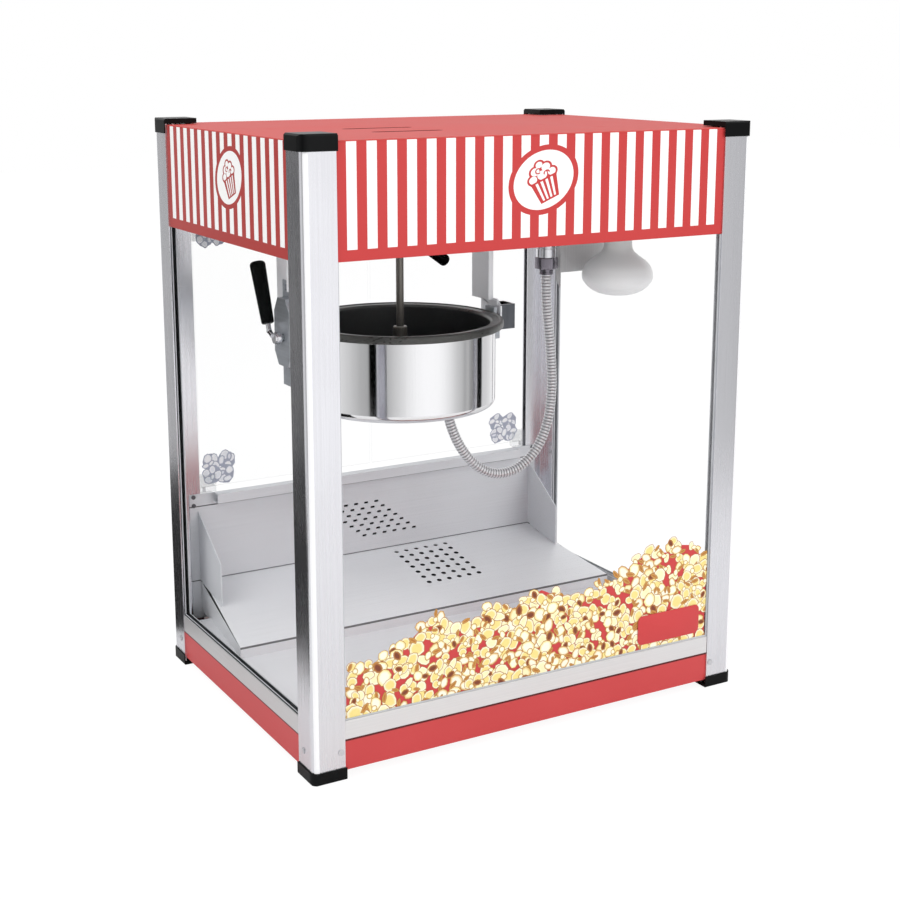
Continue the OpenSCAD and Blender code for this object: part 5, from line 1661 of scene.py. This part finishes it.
@dataclass
class Studio:
    """The camera, the white room and its soft light."""

    azimuth: float = -29.886
    elevation: float = 12.138
    distance: float = 1.85816
    lens: float = 62.0206
    target: Point = (0.005162, 0.0, 0.366096)
    shift: float = -0.0778
    fill: float = 0.80
    lights: tuple[tuple[str, float, float, float, float, float], ...] = (
        ("key_light", 26.0, 21.0, 3.4, 2.4, 37.0), ("side_light", -75.0, 44.0, 3.0, 1.6, 22.0))
    aim: Point = (0.0, 0.0, 0.34)
    screen_reach: float = 1.2
    screen_height: float = 1.5
    shade_start: int = -160
    shade_end: int = -88
    shade_reach: float = 0.42
    shade_tone: float = 0.01
    tones: tuple[Flat, ...] = (
        (-180, 1.1), (-162, 1.0), (-150, 0.5), (-142, 0.1), (-137, 0.01), (-121, 0.01), (-119, 0.5),
        (-116, 0.84), (-100, 0.78), (-90, 0.68), (-82, 0.58), (-75, 0.48), (-68, 0.44), (-65.5, 0.38),
        (-64, 0), (-52.5, 0), (-51, 0.15), (-48, 0.3), (-45, 0.5), (-38, 0.63), (-29, 0.78),
        (-22, 0.93), (-12, 1.05), (0, 1.1), (12, 1.08), (20, 1), (28, 0.87), (36, 0.69), (45, 0.55),
        (50, 0.42), (55, 0.5), (60, 0.32), (66, 0.25), (69.5, 0), (81.5, 0), (83, 0.7), (93, 0.71),
        (102, 0.8), (114, 0.98), (136, 1.1), (180, 1.1))

    def direction(self, azimuth: float, elevation: float) -> Vector:
        """The unit vector from the object towards an azimuth and elevation."""
        a, e = math.radians(azimuth), math.radians(elevation)
        return Vector((math.sin(a) * math.cos(e), -math.cos(a) * math.cos(e), math.sin(e)))

    def stand(self, name: str, data: bpy.types.ID, place: Vector, back: Vector) -> Thing:
        """Puts a camera or a light in its place, looking against back.

        Args:
            name: Its name.
            data: The camera or light.
            place: Where it stands.
            back: The way against which it looks.

        Returns:
            The camera's or light's object.
        """
        made = Bench.link(name, data)
        made.location = place
        made.rotation_mode = "QUATERNION"
        made.rotation_quaternion = (-back).to_track_quat("-Z", "Y")
        return made

    def camera(self) -> None:
        """Places the camera."""
        data = bpy.data.cameras.new("camera")
        data.lens, data.sensor_width, data.shift_y = self.lens, 36.0, self.shift
        data.clip_start, data.clip_end = 0.05, 50.0
        back = self.direction(self.azimuth, self.elevation)
        place = Vector(self.target) + back * self.distance
        bpy.context.scene.camera = self.stand("camera", data, place, back)

    def floor(self) -> None:
        """A white floor that keeps a faint shadow."""
        Bench.clear()
        bpy.ops.mesh.primitive_grid_add(x_subdivisions=4, y_subdivisions=4, size=16.0,
                                        location=(0, 0, -0.0005))
        floor = Bench.made("floor")
        g = Graph("studio_floor")
        seen = g.node("ShaderNodeLightPath", output="Is Camera Ray")
        matt = g.node("ShaderNodeBsdfDiffuse", {}, {"Color": (0.86, 0.86, 0.86, 1.0)})
        white = g.light((1, 1, 1, 1), 1.10)
        both = g.node("ShaderNodeMixShader", {}, {0: seen * 0.84, 1: matt, 2: white})
        floor.data.materials.append(g.end(both))

    def world(self) -> None:
        """White to the eye and to metal, softer as light."""
        world = bpy.data.worlds.new("studio")
        bpy.context.scene.world = world
        g = Graph("studio", world)
        eye = g.node("ShaderNodeLightPath", output="Is Camera Ray")
        outs = eye.socket.node.outputs
        seen = eye.most(Sock(g, outs["Is Glossy Ray"])).most(Sock(g, outs["Is Transmission Ray"]))
        level = g.node("ShaderNodeMapRange", {}, {"Value": seen, "To Min": self.fill, "To Max": 1.0})
        g.end(g.node("ShaderNodeBackground", {}, {"Color": (1, 1, 1, 1), "Strength": level}))

    def area(self, name: str, azimuth: float, elevation: float, distance: float, size: float,
             power: float) -> None:
        """One soft area light aimed at the machine.

        Args:
            name: The light's name.
            azimuth: Its azimuth in degrees.
            elevation: Its elevation in degrees.
            distance: Its distance.
            size: Its side.
            power: Its power.
        """
        data = bpy.data.lights.new(name, "AREA")
        data.shape, data.size, data.energy = "SQUARE", size, power
        back = self.direction(azimuth, elevation)
        lamp = self.stand(name, data, Vector(self.aim) + back * distance, back)
        lamp.visible_camera = lamp.visible_glossy = False

    @staticmethod
    def backdrop(obj: Thing, material: bpy.types.Material) -> None:
        """Dresses a backdrop and hides it from everything but reflections.

        Args:
            obj: The backdrop.
            material: Its material.
        """
        obj.data.materials.append(material)
        obj.visible_camera = obj.visible_diffuse = obj.visible_shadow = False
        obj.visible_transmission = False

    def screen(self) -> None:
        """A round screen of light and dark that only reflections show."""
        Bench.clear()
        bpy.ops.mesh.primitive_cylinder_add(vertices=360, radius=self.screen_reach, depth=self.screen_height,
                                            end_fill_type="NOTHING", location=(0, 0, self.screen_height / 2))
        screen = Bench.made("screen")
        ink = screen.data.color_attributes.new("ink", "FLOAT_COLOR", "POINT")
        for i, vertex in enumerate(screen.data.vertices):
            tone = read_off(self.tones, math.degrees(math.atan2(vertex.co.x, -vertex.co.y)))
            ink.data[i].color = (tone, tone, tone, 1.0)
        g = Graph("screen")
        colour = g.node("ShaderNodeAttribute", {"attribute_name": "ink"}, output="Color")
        self.backdrop(screen, g.end(g.light(colour, 1.0)))

    def shade(self) -> None:
        """The dark part of the floor, on the left behind the machine."""
        rim = [self.direction(a, 0.0) for a in range(self.shade_start, self.shade_end + 1, 2)]
        lift, count = Vector((0, 0, 0.001)), len(rim)
        points = [way * reach + lift for reach in (self.shade_reach, self.screen_reach) for way in rim]
        mesh = bpy.data.meshes.new("floor_shade")
        mesh.from_pydata(points, [], [(i, i + 1, count + i + 1, count + i) for i in range(count - 1)])
        g = Graph("floor_shade")
        self.backdrop(Bench.link("floor_shade", mesh), g.end(g.light((1, 1, 1, 1), self.shade_tone)))

    def build(self) -> None:
        """Makes the room."""
        self.floor()
        self.world()
        for light in self.lights:
            self.area(*light)
        self.screen()
        self.shade()
        bpy.context.scene.view_settings.view_transform = "Standard"


def main() -> None:
    """Builds the studio and the machine, piece by piece."""
    logging.basicConfig(level=logging.INFO, format="%(name)s: %(message)s")
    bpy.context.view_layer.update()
    Bench.clear()
    studio = Studio()
    studio.camera()
    conduit = Conduit()
    conduit.hose()
    for assembly in (Cabinet(), Canopy(), HeapPrint(), Doors(), Kettle(), Hangers(), conduit,
                     Lamp(), Controls()):
        assembly.build()
        log.info("finished %s", type(assembly).__name__)
    studio.build()
    Bench.clear()


if __name__ == "__main__":
    main()
